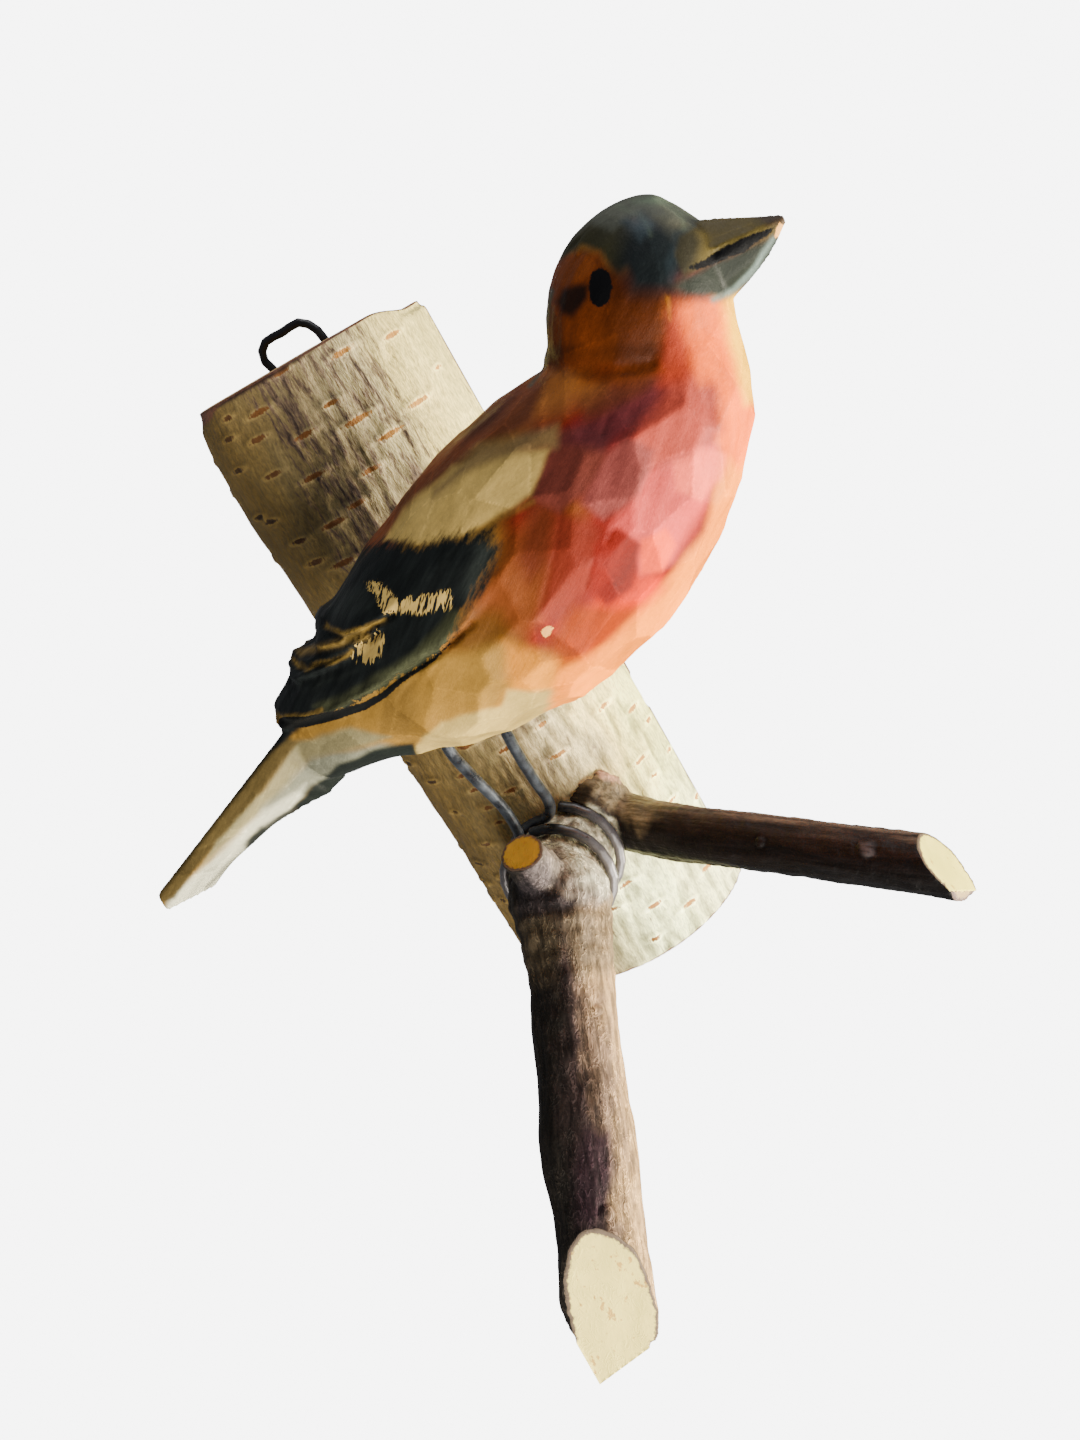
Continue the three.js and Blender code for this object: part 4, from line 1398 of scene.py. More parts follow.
@dataclass(frozen=True)
class KnifeFace:
    """A flat cut across the twig.

    Attributes:
        at: a point on it.
        outward: its direction out of the wood.
        wood: the colour of its wood.
        reach: how far from the point it goes, in millimetres.
    """

    at: tuple[float, float, float]
    outward: tuple[float, float, float]
    wood: BarkTone
    reach: float

    def ahead(self, points: np.ndarray) -> np.ndarray:
        """How far points stand out past the cut, in millimetres, and far less than 0 out of its reach.

        Args:
            points: places in the part's frame.

        Returns:
            One distance for each point.
        """
        away = points - np.array(self.at)
        far = ramp_up(np.linalg.norm(away, axis=1), self.reach, self.reach + 3.0)
        return away @ unit(self.outward) - 40.0 * far


@dataclass
class ForkedTwig:
    """The natural twig, with its stub, knob, bark and knife cuts.

    Attributes:
        grain: distance between vertices.
        limbs: neck, front twig, right twig and stub.
        cuts: the cut faces.
        front_bark_and_painted_light: colours of the front twig's bark, with painted shade on its left edge
            and painted light on its right, as the camera sees it.
        right_bark_and_painted_light: colours of the right twig's bark, with painted shade on its lower edge
            and a painted highlight along its upper edge.
        patches: patches of bark in the photograph's view.
        flats: planes along the front twig that its solid has and the real twig doesn't.
        swells: where the twig is thicker, as pixels with a width in pixels and a height in millimetres.
        scars: bud scars, as pixels with a width in pixels.
        node: middle of the wrinkled node in millimetres, with its width.
        knob: middle of the knob, with its width.
        rounds: how many times the solid is evened out.
        on_plane: how near a cut's plane its own vertices lie, as a share of the grain.
        on_ridge: the same where two cuts meet.
    """

    grain: float = 0.34
    view: PhotoView = PhotoView()
    limbs: tuple[Limb, ...] = (
        Limb((3.45, -14.0, -29.7), (3.45, -31.0, -29.7), 7.0),
        Limb((5.5, -33.0, -29.6), (-4.3, -79.7, -86.1), 6.2),
        Limb((17.6, -17.6, -31.7), (60.0, -33.6, -45.3), 4.2),
        Limb((5.5, -33.0, -29.5), (6.2, -37.4, -16.6), 3.15),
    )
    cuts: tuple[KnifeFace, ...] = (
        KnifeFace((-2.4, -68.0, -70.9), (0.224, -0.965, 0.141), BarkTone.CREAM_CUT, 17.0),
        KnifeFace((56.2, -32.0, -42.6), (0.9, -0.12, 0.4), BarkTone.CREAM_SLIVER, 9.0),
        KnifeFace((56.9, -34.6, -49.6), (0.74, -0.62, -0.26), BarkTone.GREY_CUT, 6.0),
        KnifeFace((5.95, -36.6, -18.7), (0.19, -0.41, 0.89), BarkTone.STUB_CUT, 6.0),
        KnifeFace((-8.0, -70.7, -80.8), (-0.964, 0.261, -0.047), BarkTone.CREAM_CUT, 7.0),
        KnifeFace((-8.0, -70.7, -80.8), (-0.040, 0.774, -0.632), BarkTone.CREAM_CUT, 9.0),
    )
    flats: tuple[tuple[float, float, float], ...] = ((-0.964, 0.261, -0.047), (-0.040, 0.774, -0.632))
    # Painted light: the front twig's bark runs from painted shade on its left edge to painted light on its
    # right.
    front_bark_and_painted_light: tuple[tuple[float, BarkTone], ...] = (
        (-0.62, BarkTone.SHADE), (-0.10, BarkTone.PLUM_BROWN), (0.46, BarkTone.TAN_SHADE),
        (0.82, BarkTone.TAN_LIT),
    )
    # Painted light: the right twig runs from painted shade below to a painted highlight along its top.
    right_bark_and_painted_light: tuple[tuple[float, BarkTone], ...] = (
        (-0.7, BarkTone.RIGHT_BLACK), (0.05, BarkTone.RIGHT_DARK), (0.55, BarkTone.RIGHT_UPPER),
        (0.92, BarkTone.RIGHT_TOP),
    )
    patches: tuple[Patch | Sweep, ...] = (
        Patch(BarkTone.OLIVE_BROWN, ((515, 900), (552, 905), (560, 945), (545, 985), (520, 980)), 24),
        Patch(
            BarkTone.NODE_GREY, ((536, 842), (600, 838), (625, 880), (612, 905), (575, 905),
            (540, 880), (530, 860)), 18,
        ),
        Patch(BarkTone.NECK_PALE, ((560, 836), (604, 842), (624, 880), (606, 896), (580, 880)), 20, 0.8),
        Patch(BarkTone.SCAR_GREY_AND_SHEEN, ((520, 858), (548, 858), (562, 884), (530, 890)), 14, 0.9),
        Patch(BarkTone.TAN_DARK, ((556, 910), (618, 902), (626, 965), (582, 980)), 20, 0.8),
        Patch(
            BarkTone.NECK_PALE, ((556, 812), (590, 804), (612, 822), (622, 850), (602, 846),
            (575, 828)), 8,
        ),
        Patch(BarkTone.WRINKLE, ((515, 878), (545, 886), (578, 902), (560, 914), (515, 918)), 12, 0.9),
        Patch(
            BarkTone.PLUM, ((584, 1128), (610, 1132), (618, 1180), (606, 1226), (576, 1226),
            (574, 1170)), 18,
        ),
        Patch(
            BarkTone.KNOB, ((552, 812), (560, 780), (600, 764), (640, 785), (664, 808), (640, 830),
            (600, 800)), 18,
        ),
        Patch(BarkTone.KNOB_DARK, ((554, 802), (570, 786), (592, 786), (602, 800), (580, 812)), 12, 0.9),
        Patch(BarkTone.KNOB_DARK, ((560, 782), (590, 780), (598, 800), (566, 806)), 14, 0.6),
        Patch(BarkTone.KNOB_RED, ((598, 764), (616, 772), (622, 782), (610, 782), (598, 774)), 6, 0.9),
        # Bud scar on the right twig: a grey scar with a painted sheen on it.
        Patch(BarkTone.SCAR_GREY_AND_SHEEN, ((858, 842), (872, 840), (876, 852), (864, 858)), 8, 0.8),
    )
    swells: tuple[tuple[int, int, float, float], ...] = (
        (541, 1150, 34.0, 0.8), (560, 1310, 30.0, 1.0), (528, 985, 26.0, -0.5), (598, 770, 26.0, 1.0),
    )
    scars: tuple[tuple[tuple[int, int], float], ...] = (
        ((866, 848), 9.0), ((607, 1213), 7.0), ((598, 1010), 5.0), ((760, 842), 5.0),
    )
    node: tuple[tuple[float, float, float], float] = ((5.4, -35.0, -31.0), 9.0)
    knob: tuple[tuple[float, float, float], float] = ((9.0, -14.5, -24.5), 8.0)
    rounds: int = 30
    on_plane: float = 0.6
    on_ridge: float = 1.1

    def build(self, solid: bpy.types.Object) -> bpy.types.Object:
        """Rounds the plain solid, gives it its bark and keeps its cuts flat.

        Args:
            solid: the twig's solid in the frame.

        Returns:
            The finished piece.
        """
        piece = FineMesh("forked_twig", "natural_twig", self.grain).build(solid)
        from_cut = np.abs([cut.ahead(piece.points) for cut in self.cuts])
        cut_at = from_cut < self.on_plane * self.grain
        near = from_cut < self.on_ridge * self.grain
        cut_at |= near & (np.sum(near, axis=0) > 1)
        on_cut = np.any(cut_at, axis=0)
        piece.points = self.round_off(piece.points, on_cut)
        for _ in range(self.rounds):
            piece.relax(1)
            self.hold(piece, cut_at)
        places = self.view.project(piece.points)
        behind = -np.max([cut.ahead(piece.points) for cut in self.cuts], axis=0)
        bark = ramp_up(behind, 0.05, 0.7) * (~on_cut)
        piece.push(self.relief(piece.points, places) * bark)
        self.hold(piece, cut_at)
        self.dress(piece, on_cut)
        return piece.finish(self.finish(), "twig_wood")

    def round_off(self, points: np.ndarray, on_cut: np.ndarray) -> np.ndarray:
        """Fills the flat sides of the front twig's solid out to its round form, away from its cut end.

        Args:
            points: places in millimetres.
            on_cut: which of them lie on a knife cut.

        Returns:
            The new places.
        """
        limb, tip = self.limbs[1], np.array(self.cuts[4].at)
        own = limb.own(points, self.view)
        radial = points - np.array(limb.start) - own[:, :1] * limb.direction()
        radius = np.linalg.norm(radial, axis=1)
        inside = (own[:, 0] > 6.0) & (limb.away(points) < limb.radius + 1.5) & ~on_cut
        sides = np.array([unit(flat) for flat in self.flats])
        flat = np.any(np.abs((points - tip) @ sides.T) < self.on_plane * self.grain, axis=1) & inside
        stations = np.arange(6.0, own[:, 0].max(), 2.0)
        width = []
        for station in stations:
            here = inside & ~flat & (np.abs(own[:, 0] - station) < 1.5)
            width.append(np.median(radius[here]) if here.any() else limb.radius)
        full = np.interp(own[:, 0], stations, width)
        free = ramp_up(own[:, 0].max() - own[:, 0], 9.0, 20.0) * ramp_up(own[:, 0], 6.0, 12.0)
        grow = np.where(flat, np.maximum(full - radius, 0.0) * free, 0.0)
        return points + radial / np.maximum(radius, 0.1)[:, None] * grow[:, None]

    def hold(self, piece: FineMesh, cut_at: np.ndarray) -> None:
        """Keeps the cuts flat: their vertices stay on the plane and nothing stands out past it.

        Args:
            piece: the mesh.
            cut_at: which of its vertices lie on each cut.
        """
        for _ in range(3):
            for cut, flat in zip(self.cuts, cut_at):
                level = (piece.points - np.array(cut.at)) @ unit(cut.outward)
                move = np.where(flat, level, np.maximum(cut.ahead(piece.points), 0.0))
                piece.points = piece.points - move[:, None] * unit(cut.outward)

    def relief(self, points: np.ndarray, places: np.ndarray) -> np.ndarray:
        """Height of the bark's wrinkles, bud scars, swells and grain.

        Args:
            points: places in millimetres.
            places: the same as pixels of the photograph.

        Returns:
            A height in millimetres for each point.
        """
        front = self.limbs[1].own(points, self.view)
        node, knob = (
            np.exp(-((np.linalg.norm(points - np.array(middle), axis=1) / width) ** 2))
            for middle, width in (self.node, self.knob)
        )
        wrinkles = 0.42 * noise_field(points, 1.7, 3.0) * (node + 0.9 * knob)
        rings = 0.16 * np.sin(2.4 * front[:, 0] + 2.4 * noise_field(points, 5.0, 8.0)) * node
        lumps = 0.16 * noise_field(points, 3.4, 13.0)
        lumps = lumps + 0.10 * noise_field(front, 1.0, 21.0, Vector((2.5, 1, 1)))
        height = wrinkles + rings + lumps
        for middle, size in self.scars:
            away = np.linalg.norm(places - np.array(middle), axis=1) / size
            height += 0.35 * np.exp(-(away**2)) - 0.22 * np.exp(-((away - 1.25) ** 2) / 0.06)
        for across, down, size, rise in self.swells:
            away = np.linalg.norm((places - np.array((across, down))) * (1.4, 0.7), axis=1)
            height += rise * np.exp(-((away / size) ** 2))
        return height

    def dress(self, piece: FineMesh, on_cut: np.ndarray) -> None:
        """Keeps the bark's colours with their painted light and shade, the cuts and their rims at the
        vertices.

        Args:
            piece: the mesh.
            on_cut: which of its vertices lie on a knife cut.
        """
        points = piece.points
        places = self.view.project(points)
        gaps = np.stack([limb.away(points) - limb.radius for limb in self.limbs], axis=1)
        right = ramp_up(gaps[:, 1] - gaps[:, 2], -2.0, 2.0)
        front_own = self.limbs[1].own(points, self.view)
        right_own = self.limbs[2].own(points, self.view)
        blots = noise_field(front_own, 3.5, 17.0, Vector((2.4, 1, 1)))
        specks = noise_field(front_own, 1.3, 29.0, Vector((1.6, 1, 1)))
        # Painted light: the front twig goes from painted shade on its left edge, as the camera sees it, to
        # painted light on its right.
        side = front_own[:, 1] / self.limbs[1].radius + 0.34 * blots + 0.20 * specks
        # Painted light: the right twig goes from painted shade on its lower edge to a painted highlight along
        # its top.
        upper = right_own[:, 1] / self.limbs[2].radius
        upper = upper + 0.30 * noise_field(right_own, 1.2, 11.0, Vector((9, 1, 1)))
        front_bark_and_painted_light = ladder(side, self.front_bark_and_painted_light)
        bark = front_bark_and_painted_light + right[:, None] * (ladder(upper, self.right_bark_and_painted_light) - front_bark_and_painted_light)
        brushed = places + 6.0 * np.stack([blots, specks], axis=1)
        for patch in self.patches:
            bark = patch.lay(brushed, bark)
        neck = 1.0 - ramp_up(np.abs(gaps[:, 0]) + 0.6 * np.abs(points[:, 1] + 24.0), 2.0, 5.0)
        pale = ladder(noise_field(points, 1.6, 2.0), ((-0.3, BarkTone.NECK_DARK), (0.3, BarkTone.NECK_PALE)))
        bark = bark + (0.85 * neck)[:, None] * (pale - bark)
        piece.note("right", right)
        piece.note("bark", bark)
        ahead = np.stack([cut.ahead(points) for cut in self.cuts], axis=1)
        woods = np.array([linear(cut.wood.value) for cut in self.cuts])
        piece.note("cut", ahead.max(axis=1))
        piece.note("wood", woods[ahead.argmax(axis=1)])
        piece.note("rim", piece.smooth(on_cut.astype(float), 8))

    def finish(self) -> bpy.types.Material:
        """Smooth mottled bark and bare cut wood.

        Returns:
            The material.
        """
        board = Board("twig_bark")
        front = aim(self.limbs[1].direction())
        right = aim(self.limbs[2].direction())
        streaks = board.mix(
            board.attribute("right"),
            board.noise(board.place((5, 1, 1), front), 0.9, 5, 0.65, 0.4),
            board.noise(board.place((9, 1, 1), right), 0.8, 5, 0.6, 0.3),
        )
        speck = board.noise(board.place(), 0.5, 3, 0.7)
        net = board.noise(board.place((2.2, 1, 1), front), 1.5, 3, 0.6, 1.2)
        vein = board.fit(board.sum("ABSOLUTE", board.sum("SUBTRACT", net, 0.5)), 0.0, 0.05, 0.95, 0.0)
        veined = board.fit(board.noise(board.place((2, 1, 1), front), 5.0, 2), 0.34, 0.5)
        vein = board.sum("MULTIPLY", vein, veined)
        vein = board.sum("MULTIPLY", vein, board.sum("SUBTRACT", 1.0, board.attribute("right")))
        bark = board.tone(board.attribute("bark", colour=True), board.fit(streaks, 0.36, 0.64, 0.55, 1.5))
        bark = board.tone(bark, board.fit(speck, 0.25, 0.75, 0.80, 1.2))
        bark = board.mix(vein, bark, board.tone(bark, 2.3))

        fleck = board.noise(board.place((2, 1, 1), front), 1.5, 3, 0.7)
        cloud = board.noise(board.place((3, 1, 1), front), 4.0, 3, 0.6)
        wood = board.tone(board.attribute("wood", colour=True), board.fit(cloud, 0.3, 0.7, 0.86, 1.06))
        wood = board.mix(board.fit(fleck, 0.60, 0.66, 0.0, 0.7), wood, linear(BarkTone.FLECK.value))
        wobble = board.sum("MULTIPLY", board.sum("SUBTRACT", speck, 0.5), 0.3)
        rim = board.sum("ADD", board.attribute("rim"), wobble)
        wood = board.mix(board.fit(rim, 0.84, 0.97, 0.95, 0.0), wood, linear(BarkTone.RIM.value))
        edge = board.sum("ADD", board.attribute("cut"), board.sum("MULTIPLY", wobble, 0.3))
        colour = board.mix(board.fit(edge, -0.15, -0.06), bark, wood)
        bare = board.fit(edge, -0.15, -0.06, 1.0, 0.25)
        height = board.sum("ADD", board.sum("MULTIPLY", streaks, 0.8), board.sum("MULTIPLY", speck, 0.5))
        height = board.sum("ADD", height, board.sum("MULTIPLY", vein, 0.5))
        board.relief(board.sum("MULTIPLY", height, bare), 0.24)
        rough = board.sum("SUBTRACT", 0.66, board.sum("MULTIPLY", board.attribute("right"), 0.22))
        return board.surface(colour, rough, specular_ior_level=0.12)


# The birch log


class BirchTone(Enum):
    """Colours of the birch bark and the sawn wood, as sRGB colours under white light; the olive and cream
    bark colours also carry painted shade on the log's left and painted light on its right, and the pore
    colours do the same.
    """

    OLIVE = (102, 82, 40)
    OLIVE_LIGHT = (118, 98, 56)
    GREY_TAN = (138, 120, 80)
    GREY = (144, 128, 94)
    PALE_GREY = (168, 154, 114)
    CREAM = (212, 194, 124)
    CREAM_LIT = (222, 206, 132)
    GREEN_WHITE = (212, 222, 168)
    STREAK = (92, 72, 62)
    STREAK_DARK = (46, 34, 32)
    PORE_SHADE = (52, 36, 16)
    PORE = (120, 76, 34)
    PORE_LIT = (196, 140, 70)
    TOP_RIM = (52, 34, 26)
    SAWN_DARK = (182, 142, 94)
    SAWN = (206, 170, 120)
    INNER_BARK = (96, 62, 46)


@dataclass
class BirchLog:
    """The half-round birch log with its bark.

    Attributes:
        half_width: half its width in millimetres.
        depth: how far it stands off the wall.
        half_length: half its length.
        grain: distance between vertices.
        seen_lenticels: breathing pores of the bark that the photograph shows, as pixels, with half-lengths.
        hidden_lenticels: how many more there are on the sides the photograph doesn't show.
    """

    half_width: float = 19.5
    depth: float = 19.3
    half_length: float = 52.5
    grain: float = 0.44
    view: PhotoView = PhotoView()
    seen_lenticels: tuple[tuple[int, int, float], ...] = (
        (280, 372, 1.7), (342, 352, 1.9), (392, 335, 1.6), (258, 413, 2.1), (257, 440, 1.9), (305, 435, 1.8),
        (357, 420, 2.4), (313, 477, 2.0), (273, 475, 1.8), (330, 404, 1.3), (418, 402, 2.0), (390, 434, 2.2),
        (262, 516, 1.7), (272, 521, 1.9), (300, 541, 2.0), (333, 524, 2.3), (316, 562, 2.2), (343, 563, 2.3),
        (291, 571, 1.7), (355, 505, 1.8), (371, 470, 1.6), (240, 470, 1.6), (228, 440, 1.5), (225, 420, 1.5),
        (475, 790, 1.0), (488, 808, 1.1), (500, 822, 0.9), (462, 776, 0.9), (655, 938, 1.2), (640, 760, 1.6),
        (604, 706, 1.4), (672, 800, 1.3), (655, 905, 1.4),
    )
    hidden_lenticels: int = 70
    # Bark colours round the log: olive painted shade on the left, through grey, to cream painted light on the
    # right.
    bark_tones_and_painted_light: tuple[tuple[float, BirchTone], ...] = (
        (-12.0, BirchTone.OLIVE), (-6.0, BirchTone.OLIVE_LIGHT), (0.0, BirchTone.GREY_TAN),
        (6.0, BirchTone.GREY), (13.0, BirchTone.PALE_GREY), (19.0, BirchTone.CREAM),
        (26.0, BirchTone.CREAM_LIT),
    )

    def unroll(self, points: np.ndarray) -> np.ndarray:
        """Place of points on the unrolled bark: length round the log, and height."""
        angle = np.arctan2(points[:, 0] / self.half_width, -points[:, 1] / self.depth)
        return np.stack([angle * self.half_width, points[:, 2]], axis=1)

    def seen_on_bark(self, pixel: tuple[float, float]) -> tuple[float, float] | None:
        """Where on the unrolled bark a pixel of the photograph looks.

        Args:
            pixel: place across and down in the photograph.

        Returns:
            Length round the log and height, or nothing off the log.
        """
        place = np.array(self.view.place)
        ray = self.view.ray(pixel)
        squash = np.array((1 / self.half_width, 1 / self.depth))
        start, way = place[:2] * squash, ray[:2] * squash
        a, b, c = way @ way, 2 * (start @ way), start @ start - 1.0
        if b * b < 4 * a * c:
            return None
        hit = place + ray * (-b - math.sqrt(b * b - 4 * a * c)) / (2 * a)
        spot = self.unroll(hit[None])[0]
        return float(spot[0]), float(spot[1])

    def lenticels(self) -> list[tuple[float, float, float]]:
        """Middle and half-length of every pore on the unrolled bark.

        Returns:
            Length round the log, height and half-length.
        """
        random = np.random.default_rng(3)
        made = []
        for u, v, half in self.seen_lenticels:
            spot = self.seen_on_bark((u, v))
            if spot:
                made.append((*spot, half))
        for _ in range(self.hidden_lenticels * 3):
            spot = (random.uniform(-29.0, 29.0), random.uniform(-51.0, 51.0))
            crowded = any(math.hypot((spot[0] - m[0]) / 1.6, spot[1] - m[1]) < 3.4 for m in made)
            shown = -20.0 < spot[0] < 22.0 and spot[1] > 5.0
            if not crowded and not shown and len(made) < len(self.seen_lenticels) + self.hidden_lenticels:
                made.append((*spot, random.uniform(0.8, 1.9)))
        return made

    def build(self, solid: bpy.types.Object) -> bpy.types.Object:
        """Gives the plain solid its bark, pores, sawn ends and sawn back.

        Args:
            solid: the log's solid in the frame.

        Returns:
            The finished piece.
        """
        piece = FineMesh("birch_plaque", "birch_log", self.grain).build(solid)
        points = piece.points
        across = np.hypot(points[:, 0] / self.half_width, points[:, 1] / self.depth)
        bark = ramp_up(across, 0.955, 0.975) * ramp_up(-points[:, 1], 0.25, 0.6)
        bark *= ramp_up(self.half_length - np.abs(points[:, 2]), 0.15, 0.45)
        flat = self.unroll(points)
        pores = np.full(len(points), 9.0)
        lips = np.zeros(len(points))
        for middle, height, half in self.lenticels():
            tall = 0.26 + 0.07 * half
            round_it = np.hypot((flat[:, 0] - middle) / half, (flat[:, 1] - height) / tall)
            pores = np.minimum(pores, (round_it - 1.0) * tall)
            lips = np.maximum(lips, np.exp(-(((round_it - 1.0) * tall / 0.35) ** 2)))
        folds = noise_field(points, 1.5, 2.0, Vector((1, 1, 5)))
        cracks = noise_field(points, 0.9, 9.0, Vector((1, 1, 3.5)))
        broad = noise_field(points, 6.0, 5.0, Vector((1, 1, 2)))
        middle_part = 1.0 - 0.45 * ramp_up(np.abs(flat[:, 0] - 6.0), 10.0, 20.0)
        lower = ramp_up(-points[:, 2], -5.0, 15.0)
        shallow = (0.24 * folds + 0.20 * cracks) * middle_part * (1.0 + 0.8 * lower) + 0.16 * broad
        depth = shallow + 0.26 * lips - 0.22 * (1.0 - ramp_up(pores, -0.25, 0.0))
        left_side = ramp_up(-flat[:, 0], 11.0, 22.0)
        piece.push((depth - 0.12 + 1.0 * left_side) * bark)
        corner = ramp_up(flat[:, 0], 18.0, 27.0) * ramp_up(points[:, 0], -2.0, 12.0)
        corner *= ramp_up(points[:, 2], 49.0, 52.3)
        piece.points = piece.points - corner[:, None] * np.array((0.7, 0.0, 1.7))
        piece.note("bark", bark)
        piece.note("pores", pores)
        blots = noise_field(points, 3.5, 31.0, Vector((1, 1, 2)))
        # Painted light: the bark runs from olive painted shade on the log's left to cream painted light on
        # its right.
        colours = ladder(flat[:, 0] + 3.5 * blots, self.bark_tones_and_painted_light)
        green = 0.7 * ramp_up(-points[:, 2], 20.0, 44.0) * ramp_up(flat[:, 0], -2.0, 10.0)
        colours = colours + green[:, None] * (linear(BirchTone.GREEN_WHITE.value) - colours)
        # Painted light: the lower right of the bark is made brighter.
        painted_light_lower_right = ramp_up(-points[:, 2], -5.0, 15.0) * ramp_up(flat[:, 0], -4.0, 6.0)
        colours = np.minimum(colours * (1.0 + 0.45 * painted_light_lower_right)[:, None], 0.92)
        # Painted shade: the valleys of the folds on the lower bark are darkened.
        painted_fold_shade = 0.5 * lower * ramp_up(-folds - 0.5 * cracks, 0.0, 0.5) * ramp_up(flat[:, 0], -4.0, 6.0)
        piece.note("skin", colours * (1.0 - painted_fold_shade)[:, None])
        stain = ramp_up(flat[:, 0], -9.0, 2.0) * (1.0 - ramp_up(flat[:, 0], 12.0, 24.0))
        piece.note("stain", stain * (1.0 - 0.75 * lower))
        top_rim = 1.0 - ramp_up(self.half_length - points[:, 2], 0.35, 0.9)
        piece.note("top_rim", top_rim * (1.0 - ramp_up(flat[:, 0], 2.0, 14.0)))
        return piece.finish(self.finish(), "birch_log")

    def finish(self) -> bpy.types.Material:
        """White birch bark with dark streaks and painted light and shade on its pores, and sawn wood at the
        ends and back.

        Returns:
            The material.
        """
        board = Board("birch_bark")
        split = board.nodes.new("ShaderNodeSeparateXYZ")
        board.link(board.place(), split.inputs[0])
        across = split.outputs[0]
        streaks = board.noise(board.place((1, 1, 6)), 0.9, 5, 0.7, 0.3)
        bands = board.noise(board.place((1.5, 1.5, 5), (0, 0, 0), (7, 3, 0)), 4.0, 4, 0.6)
        fine = board.noise(board.place((1, 1, 3)), 0.35, 4, 0.7)
        peel = board.noise(board.place((3, 3, 1)), 1.6, 4, 0.6, 0.6)
        bark = board.tone(board.attribute("skin", colour=True), board.fit(bands, 0.32, 0.68, 0.80, 1.16))
        bark = board.mix(board.fit(peel, 0.56, 0.70, 0.0, 0.45), bark, board.tone(bark, 1.35))
        reach = board.fit(board.attribute("stain"), 0.0, 1.0, -0.13, 0.05)
        stained = board.sum("ADD", board.sum("ADD", streaks, reach), board.fit(bands, 0.3, 0.7, 0.06, -0.05))
        bark = board.mix(board.fit(stained, 0.52, 0.62, 0.0, 0.8), bark, linear(BirchTone.STREAK.value))
        bark = board.mix(board.fit(stained, 0.62, 0.70, 0.0, 0.85), bark, linear(BirchTone.STREAK_DARK.value))
        bark = board.tone(bark, board.fit(fine, 0.3, 0.7, 0.66, 1.28))
        pores = board.sum("ADD", board.attribute("pores"), board.fit(fine, 0.3, 0.7, -0.10, 0.10))
        bark = board.mix(board.fit(pores, 0.08, 0.40, 0.9, 0.0), bark, board.tone(bark, 1.6))
        # Painted light on the pores: dark brown on the log's shaded left, orange tan on its lit right.
        lit = board.fit(across, -14.0, 2.0)
        pore = board.mix(lit, linear(BirchTone.PORE_SHADE.value), linear(BirchTone.PORE.value))
        pore = board.mix(board.fit(across, 4.0, 18.0), pore, linear(BirchTone.PORE_LIT.value))
        bark = board.mix(board.fit(pores, -0.08, 0.06, 1.0, 0.0), bark, pore)
        bark = board.mix(board.attribute("top_rim"), bark, linear(BirchTone.TOP_RIM.value))

        rings = board.nodes.new("ShaderNodeTexWave")
        rings.wave_type = "RINGS"
        rings.rings_direction = "Z"
        rings.inputs["Scale"].default_value = 0.16
        rings.inputs["Distortion"].default_value = 4.0
        rings.inputs["Detail"].default_value = 3.0
        rings.inputs["Detail Scale"].default_value = 0.35
        board.link(board.place((1, 1, 14)), rings.inputs["Vector"])
        year = board.sum("MULTIPLY", rings.outputs["Fac"], board.fit(bands, 0.35, 0.65, 0.35, 1.0))
        sawn = board.mix(year, linear(BirchTone.SAWN_DARK.value), linear(BirchTone.SAWN.value))
        fibres = board.noise(board.place((1, 1, 10)), 0.5, 3, 0.6)
        sawn = board.tone(sawn, board.fit(fibres, 0.3, 0.7, 0.88, 1.08))
        skin = board.nodes.new("ShaderNodeVectorMath")
        skin.operation = "MULTIPLY"
        board.link(board.place(), skin.inputs[0])
        skin.inputs[1].default_value = (1 / self.half_width, 1 / self.depth, 0.0)
        length = board.nodes.new("ShaderNodeVectorMath")
        length.operation = "LENGTH"
        board.link(skin.outputs[0], length.inputs[0])
        under_bark = board.fit(length.outputs["Value"], 0.93, 0.955)
        sawn = board.mix(under_bark, sawn, linear(BirchTone.INNER_BARK.value))
        colour = board.mix(board.fit(board.attribute("bark"), 0.35, 0.6), sawn, bark)
        lift = board.sum("ADD", board.sum("MULTIPLY", streaks, 0.7), board.sum("MULTIPLY", fine, 0.6))
        board.relief(lift, 0.5)
        return board.surface(colour, board.fit(fine, 0.2, 0.8, 0.55, 0.8), specular_ior_level=0.25)


# The wires


class WireKind(Enum):
    """The two wires: grey steel legs and the black hanger."""

    STEEL_LEG = "leg_wire"
    BLACK_HANGER = "black_wire"


@dataclass(frozen=True)
class WireFinish:
    """Look of a drawn wire.

    Attributes:
        skin: colour of its skin.
        rub: colour where it is rubbed.
        turns: colour of the turns round the twig.
        rough: lowest and highest roughness.
        metal: share of metal.
    """

    skin: tuple[int, int, int]
    rub: tuple[int, int, int]
    turns: tuple[int, int, int]
    rough: tuple[float, float]
    metal: float

    def make(self, name: str) -> bpy.types.Material:
        """Lays out the material.

        Args:
            name: its name.

        Returns:
            The material.
        """
        board = Board(name)
        stain = board.noise(board.place(), 2.2, 4, 0.6)
        scratch = board.noise(board.place((1, 1, 1)), 0.25, 4, 0.75)
        colour = board.mix(board.fit(stain, 0.35, 0.7), linear(self.skin), linear(self.rub))
        split = board.nodes.new("ShaderNodeSeparateXYZ")
        board.link(board.place(), split.inputs[0])
        colour = board.mix(board.fit(split.outputs[2], -26.0, -21.0, 0.85, 0.0), colour, linear(self.turns))
        colour = board.tone(colour, board.fit(scratch, 0.3, 0.7, 0.8, 1.2))
        board.relief(scratch, 0.03)
        return board.surface(colour, board.fit(stain, 0.3, 0.7, *self.rough), metallic=self.metal)


